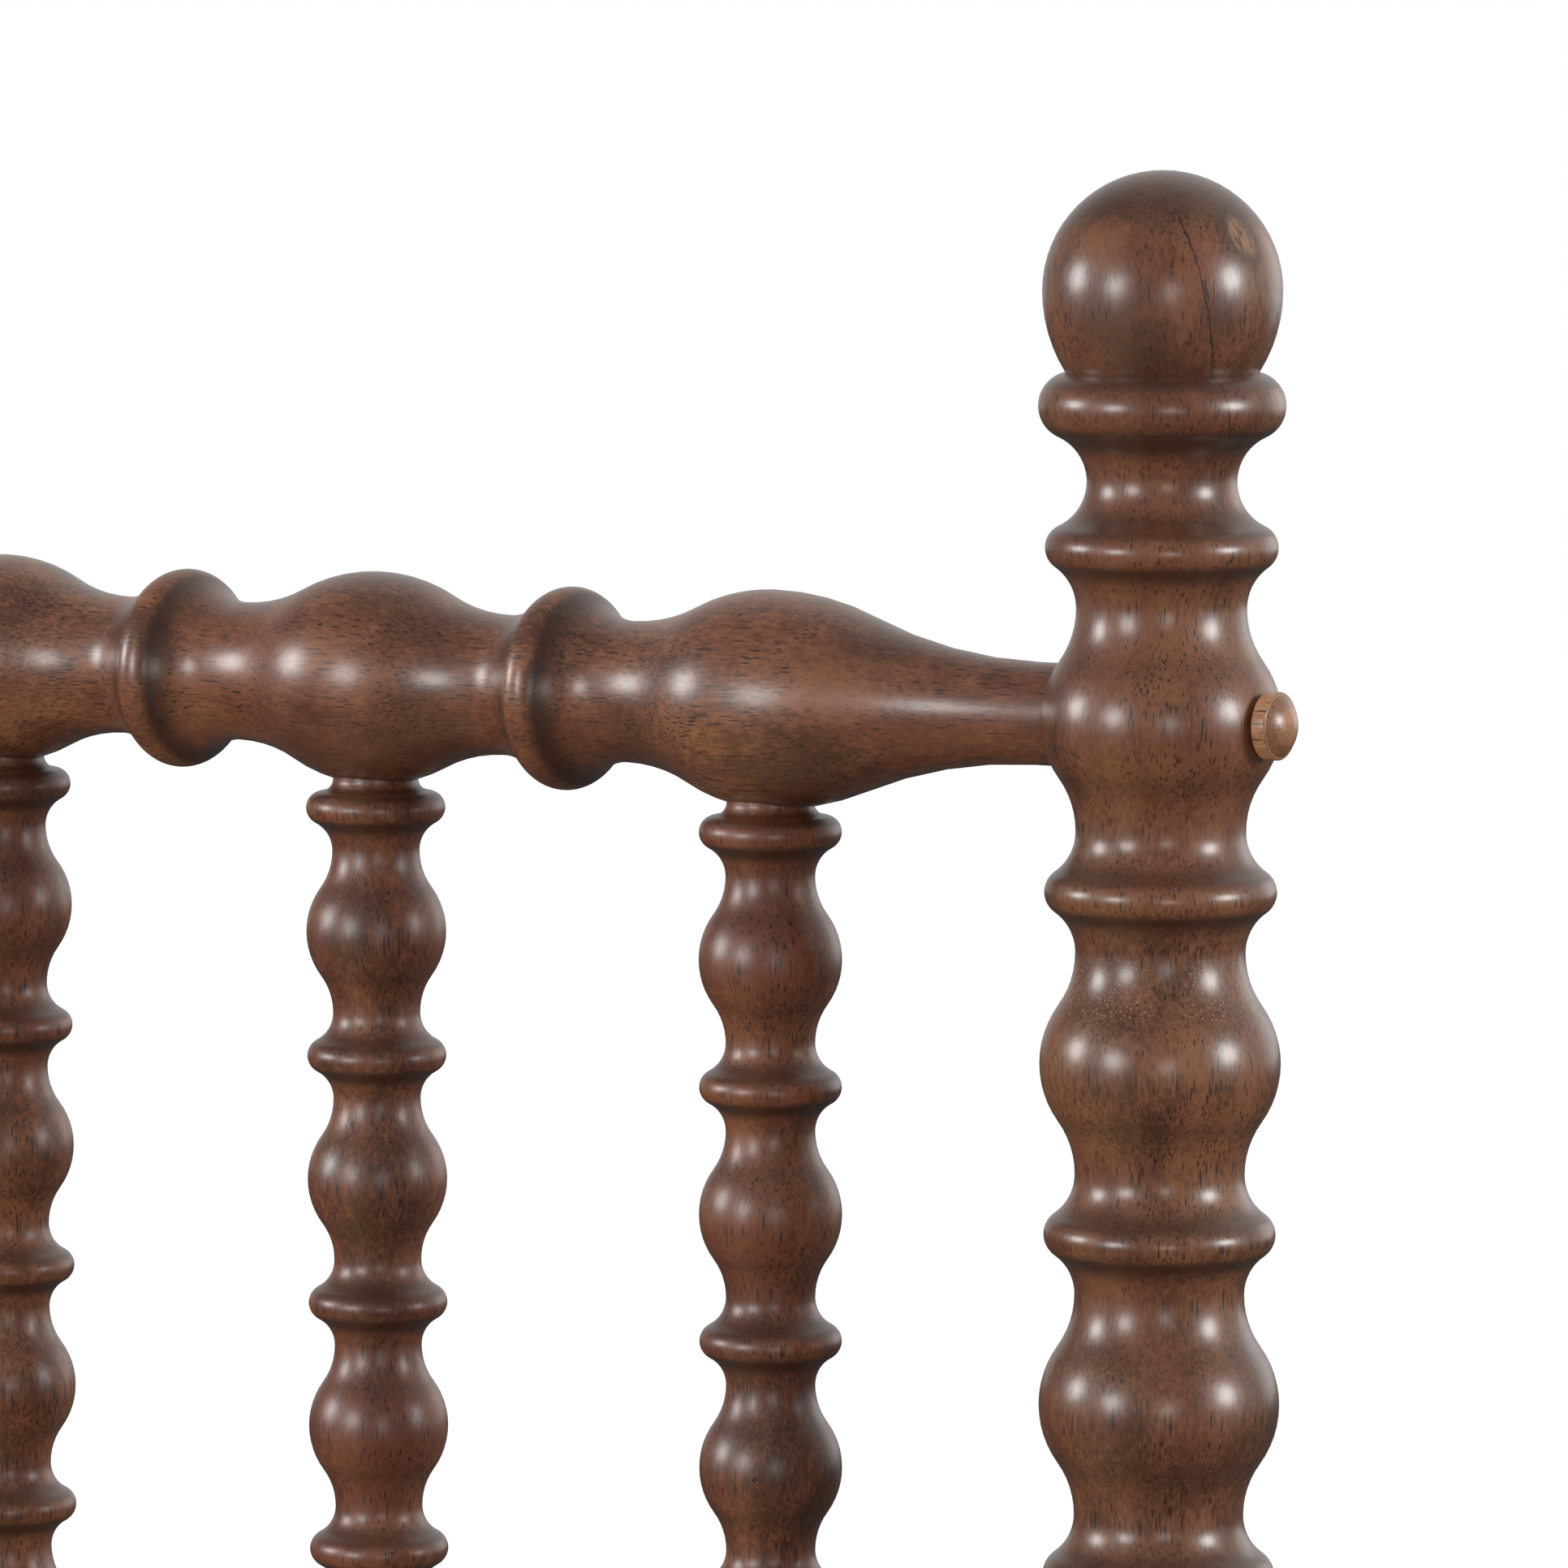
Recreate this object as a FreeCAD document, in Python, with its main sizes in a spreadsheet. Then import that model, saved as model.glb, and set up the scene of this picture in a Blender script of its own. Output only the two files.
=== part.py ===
import FreeCAD, Part
import math
import os
import re

import Sketcher

# A turned spindle bed for a twin mattress, in millimetres.
# +Z is up, +Y points to the headboard, X runs across the bed.
# The origin is on the floor, in the middle of the bed.

DRIVING_SIZES = {
    # mattress and the room around it
    "mattress_width": 990,
    "mattress_length": 1905,
    "side_play": 12,
    "end_play": 7.5,
    # boards: the side rails and the lower rails of the two ends
    "board_height": 150,
    "board_underside": 220,
    "side_board_thickness": 25,
    "end_board_thickness": 28,
    "board_edge_round": 3,
    # square block of a post
    "block_width": 64,
    "block_above_board": 35,
    "block_below_board": 25,
    "block_edge_round": 3,
    "block_shoulder_margin": 1,
    # turned shape of a post
    "post_bulb_diameter": 64.4,
    "post_bead_diameter": 62,
    "post_neck_diameter": 45.4,
    "post_bead_to_neck": 16.2,
    "post_bulb_fullness": 0.52,
    "post_bead_fullness": 0.32,
    "post_shoulder_diameter": 61,
    "post_shoulder_seat": 55,
    "post_shoulder_rise": 5,
    "post_shoulder_to_neck": 22,
    "head_post_bulbs": 7,
    "foot_post_bulbs": 4,
    # ball finial, measured up from the bead below it
    "finial_neck_diameter": 40,
    "finial_neck_rise": 17.5,
    "finial_ring_diameter": 65.8,
    "finial_ring_rise": 37.6,
    "finial_ring_fullness": 0.41,
    "finial_crease_diameter": 51.5,
    "finial_crease_rise": 46.5,
    "ball_diameter": 63.8,
    "ball_centre_rise": 68,
    # turned foot below the block
    "foot_bulb_to_neck": 29.3,
    "foot_bulb_diameter": 62,
    "foot_bead_diameter": 57,
    "foot_neck_diameter": 42,
    "toe_bulb_diameter": 58,
    "toe_diameter": 38,
    "glide_thickness": 5,
    "glide_diameter": 30,
    "glide_rim": 1.5,
    "glide_nail_diameter": 3,
    "glide_nail_length": 14,
    # top rail
    "rail_bulb_diameter": 60,
    "rail_ring_diameter": 56.5,
    "rail_neck_diameter": 39,
    "rail_ring_to_neck": 20.4,
    "rail_bulb_fullness": 0.45,
    "rail_ring_fullness": 0.27,
    "rail_taper_fullness": 0.345,
    "rail_taper_length": 85,
    "rail_end_diameter": 27.7,
    "rail_socket_depth": 20,
    "post_to_spindle": 123.5,
    # spindles
    "spindle_count": 7,
    "spindle_bulb_diameter": 39.4,
    "spindle_bead_diameter": 39.2,
    "spindle_neck_diameter": 24.6,
    "spindle_period": 70.3,
    "spindle_bead_to_neck": 12.2,
    "spindle_bulb_fullness": 0.54,
    "spindle_bead_fullness": 0.35,
    "spindle_end_fullness": 0.55,
    "spindle_end_rise": 6.4,
    "spindle_shoulder_diameter": 24,
    "spindle_top_tenon": 17,
    "spindle_bottom_tenon": 20,
    "spindle_bottom_tenon_diameter": 14,
    "head_spindle_bulbs": 9,
    "foot_spindle_bulbs": 5,
    # cap plug and the bolt behind it
    "cap_diameter": 18.2,
    "cap_edge": 4.4,
    "cap_dome": 3.5,
    "cap_stem_diameter": 12,
    "cap_stem_length": 10,
    "rail_bolt_diameter": 6,
    "rail_bolt_head_diameter": 10,
    "rail_bolt_head_height": 6,
    "rail_bolt_head_depth": 18,
    "rail_bolt_length": 52,
    "insert_diameter": 10,
    "insert_length": 25,
    # dowels between the lower rails and the posts
    "dowel_diameter": 10,
    "dowel_length": 40,
    "dowel_edge_distance": 20,
    # side rail bolts and barrel nuts
    "side_bolt_diameter": 8,
    "side_bolt_head_diameter": 13,
    "side_bolt_head_height": 8,
    "side_bolt_head_depth": 12,
    "side_bolt_length": 100,
    "side_bolt_edge_distance": 42,
    "barrel_nut_diameter": 12,
    "barrel_nut_length": 20,
    "barrel_nut_from_end": 40,
    # slats and the ledgers that carry them
    "slat_count": 13,
    "slat_width": 65,
    "slat_thickness": 18,
    "slat_edge_round": 3,
    "slat_end_play": 2,
    "first_slat_distance": 60,
    "slat_screw_from_end": 12,
    "ledger_width": 25,
    "ledger_height": 30,
    "ledger_rise": 30,
    "ledger_end_gap": 10,
    "ledger_screw_count": 6,
    "ledger_screw_from_end": 75,
    "screw_diameter": 4,
    "screw_head_diameter": 8,
    "screw_head_height": 3,
    "screw_grip": 14,
    # centre beam, its brackets and its legs
    "beam_width": 40,
    "beam_height": 50,
    "beam_end_gap": 0.5,
    "bracket_thickness": 2.5,
    "bracket_wing": 22,
    "bracket_reach": 40,
    "bracket_screw_spread": 30,
    "bracket_screw_length": 20,
    "leg_distance": 480,
    "leg_top_diameter": 46,
    "leg_bottom_diameter": 36,
    "leg_floor_gap": 26,
    "leg_stud_diameter": 8,
    "leg_stud_length": 60,
    "foot_disc_diameter": 40,
    "foot_disc_height": 8,
    "foot_disc_rim": 2,
    "foot_nut_diameter": 15,
    "foot_nut_height": 5,
    "foot_stem_diameter": 8,
    "foot_stem_length": 34,
    "foot_insert_diameter": 12,
    "foot_insert_length": 22,
    # clearances, all radial or at the blind end of a hole
    "peg_clearance": 0.1,
    "bolt_clearance": 0.3,
    "thread_clearance": 0.05,
    "end_clearance": 1,
}

# Sizes that follow from the driving ones, written with their names.
POST_SPACING = "(mattress_width + 2 * side_play + side_board_thickness)"
POST_LENGTH_SPACING = "(mattress_length + 2 * end_play + block_width)"
BOARD_TOP = "(board_underside + board_height)"
BLOCK_TOP = f"({BOARD_TOP} + block_above_board)"
BLOCK_UNDERSIDE = "(board_underside - block_below_board)"
SLAT_UNDERSIDE = "(board_underside + ledger_rise + ledger_height)"
SLAT_TOP = f"({SLAT_UNDERSIDE} + slat_thickness)"
SPINDLE_PITCH = f"(({POST_SPACING} - 2 * post_to_spindle) / (spindle_count - 1))"
SOCKET_FLOOR = "(post_bulb_diameter / 2 - rail_socket_depth)"
SPINDLE_SOCKET_FLOOR = "(rail_bulb_diameter / 2 - spindle_top_tenon - end_clearance)"
SIDE_BOARD_LENGTH = f"({POST_LENGTH_SPACING} - block_width)"
END_BOARD_LENGTH = f"({POST_SPACING} - block_width)"
LEDGER_LENGTH = f"({SIDE_BOARD_LENGTH} - 2 * ledger_end_gap)"
SLAT_LENGTH = f"({POST_SPACING} - side_board_thickness - 2 * slat_end_play)"
SLAT_PITCH = f"(({SIDE_BOARD_LENGTH} - 2 * first_slat_distance) / (slat_count - 1))"
BEAM_LENGTH = (
    f"({POST_LENGTH_SPACING} - end_board_thickness"
    " - 2 * (bracket_thickness + beam_end_gap))"
)
BEAM_UNDERSIDE = f"({SLAT_UNDERSIDE} - beam_height)"
RAIL_LENGTH = f"({POST_SPACING} - 2 * ({SOCKET_FLOOR} + end_clearance))"
POST_NECK = "post_neck_diameter / 2"
FIRST_NECK = f"({BLOCK_TOP} + post_shoulder_rise + post_shoulder_to_neck)"
LAST_FOOT_NECK = f"({BLOCK_UNDERSIDE} - post_shoulder_rise - post_shoulder_to_neck)"
LEDGER_SCREW_PITCH = (
    f"(({LEDGER_LENGTH} - 2 * ledger_screw_from_end) / (ledger_screw_count - 1))"
)
BRACKET_SCREW_OFFSET = "(beam_width / 2 + bracket_thickness + bracket_wing / 2)"
BRACKET_SCREW_LOW = (
    f"({BEAM_UNDERSIDE} - board_underside + (beam_height - bracket_screw_spread) / 2)"
)
SLAT_SCREW_SEAT = "(slat_thickness - screw_head_height)"


def rail_axis_height(bulbs):
    """Height of a top rail's axis above the floor, over spindles of that many bulbs."""
    return (
        f"({BOARD_TOP} + 2 * spindle_end_rise + {bulbs} * spindle_period"
        " + rail_bulb_diameter / 2)"
    )


HEAD_RAIL_AXIS = rail_axis_height("head_spindle_bulbs")
FOOT_RAIL_AXIS = rail_axis_height("foot_spindle_bulbs")
ENDS = (
    ("headboard", HEAD_RAIL_AXIS, "head_post_bulbs", "head_spindle_bulbs", 1),
    ("footboard", FOOT_RAIL_AXIS, "foot_post_bulbs", "foot_spindle_bulbs", -1),
)

document = FreeCAD.newDocument("spindle_bed")
sheet = document.addObject("Spreadsheet::Sheet", "Sizes")
for row, (alias, value) in enumerate(DRIVING_SIZES.items(), start=1):
    sheet.set(f"A{row}", alias)
    sheet.set(f"B{row}", str(value))
    sheet.setAlias(f"B{row}", alias)
document.recompute()

PIECES = []
SKETCH_PLANE = {"X": "YZ_Plane", "Y": "XZ_Plane", "Z": "XY_Plane"}
ON_H_AXIS = -1
ON_V_AXIS = -2
START, END, CENTRE = 1, 2, 3


def size(formula):
    """The value of a formula of driving sizes."""
    return float(sheet.evalExpression(formula))


def bound(formula):
    """The same formula, as other objects of the document write it."""
    return re.sub(
        r"[a-z_]+",
        lambda word: "Sizes." + word[0] if word[0] in DRIVING_SIZES else word[0],
        formula,
    )


def new_piece(label):
    body = document.addObject("PartDesign::Body", label)
    body.Label = label
    PIECES.append(body)
    return body


def place(body, x="0", y="0", z="0", turn=None):
    """Put a finished piece in the bed: an optional turn (axis, degrees), then a move."""
    if turn:
        axis, degrees = turn
        body.Placement = FreeCAD.Placement(
            FreeCAD.Vector(), FreeCAD.Rotation(FreeCAD.Vector(*axis), degrees)
        )
    for name, formula in zip("xyz", (x, y, z)):
        body.setExpression(f"Placement.Base.{name}", bound(formula))


def datum(body, role):
    return next(one for one in body.Origin.OriginFeatures if one.Role == role)


def new_sketch(body, name, plane, offset=("0", "0", "0")):
    sketch = body.newObject("Sketcher::SketchObject", name)
    sketch.AttachmentSupport = (datum(body, plane), [""])
    sketch.MapMode = "FlatFace"
    for axis, formula in zip("xyz", offset):
        if formula != "0":
            sketch.setExpression(f"AttachmentOffset.Base.{axis}", bound(formula))
    return sketch


def bind(sketch, kind, places, formula, name):
    """Add one dimension to a sketch and bind it to a formula."""
    index = sketch.addConstraint(Sketcher.Constraint(kind, *places, size(formula)))
    sketch.renameConstraint(index, name)
    sketch.setExpression(f"Constraints.{name}", bound(formula))


def pin_point(sketch, geometry, vertex, x, y, name):
    """Hold a sketch point at x, y, where a plain 0 means on that axis."""
    if x == "0":
        sketch.addConstraint(
            Sketcher.Constraint("PointOnObject", geometry, vertex, ON_V_AXIS)
        )
    else:
        bind(sketch, "DistanceX", (-1, START, geometry, vertex), x, f"x_{name}")
    if y == "0":
        sketch.addConstraint(
            Sketcher.Constraint("PointOnObject", geometry, vertex, ON_H_AXIS)
        )
    else:
        bind(sketch, "DistanceY", (-1, START, geometry, vertex), y, f"y_{name}")


def join_chain(sketch, chain):
    """Close a ring of edges, each given as its two end vertices."""
    for (_, tail), (head, _) in zip(chain, chain[1:] + chain[:1]):
        sketch.addConstraint(Sketcher.Constraint("Coincident", *tail, *head))


def polygon(sketch, corners):
    """A closed outline of straight edges through corners given as formulas."""
    points = [FreeCAD.Vector(size(x), size(y), 0) for x, y in corners]
    chain = []
    for here, there in zip(points, points[1:] + points[:1]):
        edge = sketch.addGeometry(Part.LineSegment(here, there))
        chain.append(((edge, START), (edge, END)))
    join_chain(sketch, chain)
    for number, ((x, y), (head, _)) in enumerate(zip(corners, chain)):
        pin_point(sketch, *head, x, y, f"corner_{number}")


class TurnedOutline:
    """Half the outline of a turned piece, from one end of its axis to the other.

    Each station is (position, radius, run), with the run to the next station:
    "line", "round" for one arc that is level at the fuller end, "dome" for one
    that crosses the turning axis square, or a fullness, the share of an S-curve's
    two radii that belongs to its fuller end.
    """

    def __init__(self, sketch, stations, along):
        self.sketch = sketch
        self.upright = along == "V"
        self.chain = []
        self.stations = stations
        self.points = [(size(p), size(r)) for p, r, *_ in stations]
        self.draw()

    def vector(self, position, radius):
        across, up = (radius, position) if self.upright else (position, radius)
        return FreeCAD.Vector(across, up, 0)

    def line(self, start, stop):
        edge = self.sketch.addGeometry(
            Part.LineSegment(self.vector(*start), self.vector(*stop))
        )
        self.chain.append(((edge, START), (edge, END)))
        return edge

    def arc(self, start, stop, centre):
        """A short arc about a centre. Returns the edge and its two end vertices."""
        middle = self.vector(*centre)
        ends = [self.vector(*start), self.vector(*stop)]
        radius = ends[0].distanceToPoint(middle)
        angles = [math.atan2(end.y - middle.y, end.x - middle.x) for end in ends]
        turn = (angles[1] - angles[0]) % (2 * math.pi)
        forward = turn < math.pi
        first, last = angles if forward else angles[::-1]
        if last < first:
            last += 2 * math.pi
        circle = Part.Circle(middle, FreeCAD.Vector(0, 0, 1), radius)
        edge = self.sketch.addGeometry(Part.ArcOfCircle(circle, first, last))
        vertices = ((edge, START), (edge, END))
        self.chain.append(vertices if forward else vertices[::-1])
        return edge

    def level(self, one, other):
        kind = "Horizontal" if self.upright else "Vertical"
        self.sketch.addConstraint(Sketcher.Constraint(kind, *one, *other))

    def curve(self, number, run):
        """The run from a station to the next one, as one arc or as an S-curve."""
        here, there = self.points[number], self.points[number + 1]
        if run == "dome":
            self.dome(here, there)
            return
        rising = there[1] > here[1]
        crest, neck = (there, here) if rising else (here, there)
        drop = crest[1] - neck[1]
        reach = crest[0] - neck[0]
        both = (drop**2 + reach**2) / (2 * drop)
        if run == "round":
            edge = self.arc(here, there, (crest[0], crest[1] - both))
            crest_vertex = self.chain[-1][1 if rising else 0]
            self.level((edge, CENTRE), crest_vertex)
            return
        full = size(run) * both
        crest_centre = (crest[0], crest[1] - full)
        neck_centre = (neck[0], neck[1] + both - full)
        share = full / both
        joint = (
            crest_centre[0] + share * (neck_centre[0] - crest_centre[0]),
            crest_centre[1] + share * (neck_centre[1] - crest_centre[1]),
        )
        centres = (neck_centre, crest_centre) if rising else (crest_centre, neck_centre)
        first = self.arc(here, joint, centres[0])
        first_vertices = self.chain[-1]
        second = self.arc(joint, there, centres[1])
        second_vertices = self.chain[-1]
        self.chain[-2:] = [(first_vertices[0], second_vertices[1])]
        self.level((first, CENTRE), first_vertices[0])
        self.level((second, CENTRE), second_vertices[1])
        self.sketch.addConstraint(
            Sketcher.Constraint("Tangent", *first_vertices[1], *second_vertices[0])
        )
        (here_at, here_r, *_), (there_at, there_r, *_) = self.stations[number : number + 2]
        gap = f"({there_at} - ({here_at}))"
        fall = f"({there_r} - ({here_r}))" if rising else f"({here_r} - ({there_r}))"
        full_edge = second if rising else first
        bind(
            self.sketch,
            "Radius",
            (full_edge,),
            f"{run} * ({fall}^2 + {gap}^2) / (2 * {fall})",
            f"curve_{number}",
        )

    def dome(self, edge, tip):
        """An arc from an edge to a tip on the turning axis, centred on that axis."""
        rise = tip[0] - edge[0]
        bend = (edge[1] ** 2 + rise**2) / (2 * rise)
        arc = self.arc(edge, tip, (tip[0] - bend, 0))
        axis = ON_V_AXIS if self.upright else ON_H_AXIS
        self.sketch.addConstraint(Sketcher.Constraint("PointOnObject", arc, CENTRE, axis))

    def draw(self):
        first, last = self.points[0], self.points[-1]
        self.line((first[0], 0), first)
        for number, (_, _, *run) in enumerate(self.stations[:-1]):
            if not run or run[0] == "line":
                self.line(self.points[number], self.points[number + 1])
            else:
                self.curve(number, run[0])
        pointed = last[1] == 0
        if not pointed:
            self.line(last, (last[0], 0))
        self.line((last[0], 0), (first[0], 0))
        join_chain(self.sketch, self.chain)
        for number, (position, radius, *_) in enumerate(self.stations):
            if number + 1 < len(self.chain):
                vertex = self.chain[number + 1][0]
            x, y = (radius, position) if self.upright else (position, radius)
            pin_point(self.sketch, *vertex, x, y, f"station_{number}")
        self.level(*self.chain[0])
        if not pointed:
            self.level(*self.chain[-2])
        axis = ON_V_AXIS if self.upright else ON_H_AXIS
        open_ends = [self.chain[-1][1]] if pointed else self.chain[-1]
        for vertex in open_ends:
            self.sketch.addConstraint(
                Sketcher.Constraint("PointOnObject", *vertex, axis)
            )


def turn(body, name, stations, plane="XZ_Plane", offset=("0", "0", "0"), along="V"):
    """Add a turned solid about the sketch's V or H axis."""
    return revolve(body, name, "PartDesign::Revolution", stations, plane, offset, along)


def turn_away(body, name, stations, plane="XZ_Plane", offset=("0", "0", "0"), along="V"):
    """Cut a turned hollow about the sketch's V or H axis."""
    return revolve(body, name, "PartDesign::Groove", stations, plane, offset, along)


def revolve(body, name, kind, stations, plane, offset, along):
    sketch = new_sketch(body, f"{name}_outline", plane, offset)
    TurnedOutline(sketch, stations, along)
    feature = body.newObject(kind, name)
    feature.Profile = sketch
    feature.ReferenceAxis = (sketch, [f"{along}_Axis"])
    feature.Angle = 360
    body.Tip = feature
    return feature


def pad(body, name, sketch, length):
    feature = body.newObject("PartDesign::Pad", name)
    feature.Profile = sketch
    feature.setExpression("Length", bound(length))
    body.Tip = feature
    return feature


def bore(body, name, axis, start, stop, centre, diameter):
    """Drill towards +axis, from start to stop, at centre on the other two axes."""
    plane_height = f"-({start})" if axis == "Y" else start
    sketch = new_sketch(body, f"{name}_circle", SKETCH_PLANE[axis], ("0", "0", plane_height))
    x, y = centre
    middle = FreeCAD.Vector(size(x), size(y), 0)
    radius = size(diameter) / 2
    circle = sketch.addGeometry(Part.Circle(middle, FreeCAD.Vector(0, 0, 1), radius))
    pin_point(sketch, circle, CENTRE, x, y, "centre")
    bind(sketch, "Diameter", (circle,), diameter, "diameter")
    feature = body.newObject("PartDesign::Pocket", name)
    feature.Profile = sketch
    feature.Reversed = axis != "Y"
    feature.setExpression("Length", bound(f"{stop} - ({start})"))
    body.Tip = feature
    feature.recompute(True)
    if feature.BaseFeature.Shape.Volume - feature.Shape.Volume < 1:
        raise RuntimeError(f"{body.Label}: {name} cuts nothing")
    return feature


def repeat(body, name, feature, axis, pitch, count, second=None):
    """Copy a feature along an axis, and along a second one if (axis, pitch, count)."""
    pattern = body.newObject("PartDesign::LinearPattern", name)
    pattern.Originals = [feature]
    pattern.Direction = (datum(body, f"{axis}_Axis"), [""])
    pattern.setExpression("Length", bound(f"{pitch} * ({count} - 1)"))
    pattern.setExpression("Occurrences", bound(count))
    if second:
        axis, pitch, count = second
        pattern.Direction2 = (datum(body, f"{axis}_Axis"), [""])
        pattern.setExpression("Length2", bound(f"{pitch} * ({count} - 1)"))
        pattern.setExpression("Occurrences2", bound(count))
    body.Tip = pattern
    return pattern


def mirror_whole(body, name, plane):
    """Mirror everything that the piece has so far."""
    body.Tip.recompute(True)
    mirrored = body.newObject("PartDesign::Mirrored", name)
    mirrored.TransformMode = "Whole shape"
    mirrored.MirrorPlane = (datum(body, plane), [""])
    body.Tip = mirrored
    return mirrored


def round_long_edges(body, name, feature, axis, radius):
    """Ease the edges of a feature that run along one axis."""
    feature.recompute(True)
    direction = FreeCAD.Vector(*(float(axis == one) for one in "XYZ"))
    names = []
    for number, edge in enumerate(feature.Shape.Edges, start=1):
        if abs(edge.tangentAt(edge.FirstParameter).dot(direction)) > 0.999:
            names.append(f"Edge{number}")
    fillet = body.newObject("PartDesign::Fillet", name)
    fillet.Base = (feature, names)
    fillet.setExpression("Radius", bound(radius))
    body.Tip = fillet
    return fillet


# ---------------------------------------------------------------- posts


def post_period(rail_axis, bulbs):
    """Distance from bulb to bulb, so that the last bulb sits on the rail's axis."""
    return f"(({rail_axis} - post_bead_to_neck - {FIRST_NECK}) / ({bulbs} - 0.5))"


def make_turned_foot(body):
    """Toe, bead and bulb below the block, down to the glide."""
    neck = "foot_neck_diameter / 2"
    bulb_height = f"({LAST_FOOT_NECK} - foot_bulb_to_neck)"
    upper_neck = f"({bulb_height} - foot_bulb_to_neck)"
    bead_height = f"({upper_neck} - post_bead_to_neck)"
    lower_neck = f"({bead_height} - post_bead_to_neck)"
    turn(body, "turned_foot", [
        ("glide_thickness", "toe_diameter / 2", "round"),
        (f"({lower_neck} - foot_bulb_to_neck)", "toe_bulb_diameter / 2", "post_bulb_fullness"),
        (lower_neck, neck, "post_bead_fullness"),
        (bead_height, "foot_bead_diameter / 2", "post_bead_fullness"),
        (upper_neck, neck, "post_bulb_fullness"),
        (bulb_height, "foot_bulb_diameter / 2", "post_bulb_fullness"),
        (LAST_FOOT_NECK, POST_NECK, "post_bead_fullness"),
        (f"({BLOCK_UNDERSIDE} - post_shoulder_rise)", "post_shoulder_diameter / 2", "round"),
        (BLOCK_UNDERSIDE, "post_shoulder_seat / 2"),
    ])


def make_block(body):
    """The square length of the post, its corners turned off round at both ends."""
    outline = new_sketch(body, "block_outline", "XY_Plane", ("0", "0", BLOCK_UNDERSIDE))
    half = size("block_width / 2")
    corners = [(-half, -half), (half, -half), (half, half), (-half, half)]
    points = [FreeCAD.Vector(x, y, 0) for x, y in corners]
    chain = []
    for here, there in zip(points, points[1:] + points[:1]):
        edge = outline.addGeometry(Part.LineSegment(here, there))
        chain.append(((edge, START), (edge, END)))
    join_chain(outline, chain)
    for number, kind in enumerate(("Horizontal", "Vertical", "Horizontal", "Vertical")):
        outline.addConstraint(Sketcher.Constraint(kind, number))
    outline.addConstraint(Sketcher.Constraint("Symmetric", 0, START, 1, END, -1, START))
    bind(outline, "DistanceX", (0, START, 0, END), "block_width", "width")
    bind(outline, "DistanceY", (1, START, 1, END), "block_width", "depth")
    block = pad(body, "block", outline, f"{BLOCK_TOP} - {BLOCK_UNDERSIDE}")
    return block


def turn_off_corners(body):
    """Round shoulders where the lathe runs from the square into the turned parts."""
    corner = "(block_width * (sqrt(2) - 1) / 2 + block_shoulder_margin)"
    inside = "block_width / 2"
    outside = f"({inside} + {corner})"
    for name, end, sign in (("upper", BLOCK_TOP, "-"), ("lower", BLOCK_UNDERSIDE, "+")):
        sketch = new_sketch(body, f"{name}_shoulder_outline", "XZ_Plane")
        level = f"({end} {sign} {corner})"
        middle = FreeCAD.Vector(size(inside), size(level), 0)
        circle = Part.Circle(middle, FreeCAD.Vector(0, 0, 1), size(corner))
        quarter = (0, math.pi / 2) if name == "upper" else (-math.pi / 2, 0)
        arc = sketch.addGeometry(Part.ArcOfCircle(circle, *quarter))
        tip, side = (END, START) if name == "upper" else (START, END)
        outer = FreeCAD.Vector(size(outside), size(end), 0)
        inner_end = FreeCAD.Vector(size(inside), size(end), 0)
        side_point = FreeCAD.Vector(size(outside), size(level), 0)
        top = sketch.addGeometry(Part.LineSegment(inner_end, outer))
        edge = sketch.addGeometry(Part.LineSegment(outer, side_point))
        for places in ((arc, tip, top, START), (top, END, edge, START), (edge, END, arc, side)):
            sketch.addConstraint(Sketcher.Constraint("Coincident", *places))
        sketch.addConstraint(Sketcher.Constraint("Horizontal", top))
        sketch.addConstraint(Sketcher.Constraint("Vertical", edge))
        sketch.addConstraint(Sketcher.Constraint("Vertical", arc, CENTRE, arc, tip))
        pin_point(sketch, arc, CENTRE, inside, level, "centre")
        bind(sketch, "Radius", (arc,), corner, "shoulder")
        groove = body.newObject("PartDesign::Groove", f"{name}_shoulder")
        groove.Profile = sketch
        groove.ReferenceAxis = (sketch, ["V_Axis"])
        groove.Angle = 360
        body.Tip = groove


def make_turned_shaft(body, rail_axis, bulbs):
    """Beads and bulbs from the block up, then the ball finial."""
    period = post_period(rail_axis, bulbs)
    bead = f"({FIRST_NECK} + post_bead_to_neck)"
    bulb = f"({bead} + {period} / 2)"
    turn(body, "shaft_shoulder", [
        (BLOCK_TOP, "post_shoulder_seat / 2", "round"),
        (f"({BLOCK_TOP} + post_shoulder_rise)", "post_shoulder_diameter / 2",
         "post_bead_fullness"),
        (FIRST_NECK, POST_NECK),
    ])
    unit = turn(body, "bead_and_bulb", [
        (FIRST_NECK, POST_NECK, "post_bead_fullness"),
        (bead, "post_bead_diameter / 2", "post_bead_fullness"),
        (f"({bead} + post_bead_to_neck)", POST_NECK, "post_bulb_fullness"),
        (bulb, "post_bulb_diameter / 2", "post_bulb_fullness"),
        (f"({FIRST_NECK} + {period})", POST_NECK),
    ])
    repeat(body, "beads_and_bulbs", unit, "Z", period, bulbs)
    top_bead = f"({rail_axis} + {period} / 2)"
    crease = f"({top_bead} + finial_crease_rise)"
    ball_centre = f"({top_bead} + ball_centre_rise)"
    turn(body, "ball_finial", [
        (f"({top_bead} - post_bead_to_neck)", POST_NECK, "post_bead_fullness"),
        (top_bead, "post_bead_diameter / 2", "post_bead_fullness"),
        (f"({top_bead} + finial_neck_rise)", "finial_neck_diameter / 2",
         "finial_ring_fullness"),
        (f"({top_bead} + finial_ring_rise)", "finial_ring_diameter / 2", "round"),
        (crease, "finial_crease_diameter / 2", "round"),
        (ball_centre, "ball_diameter / 2", "round"),
        (f"({ball_centre} + ball_diameter / 2)", "0"),
    ])


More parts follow.
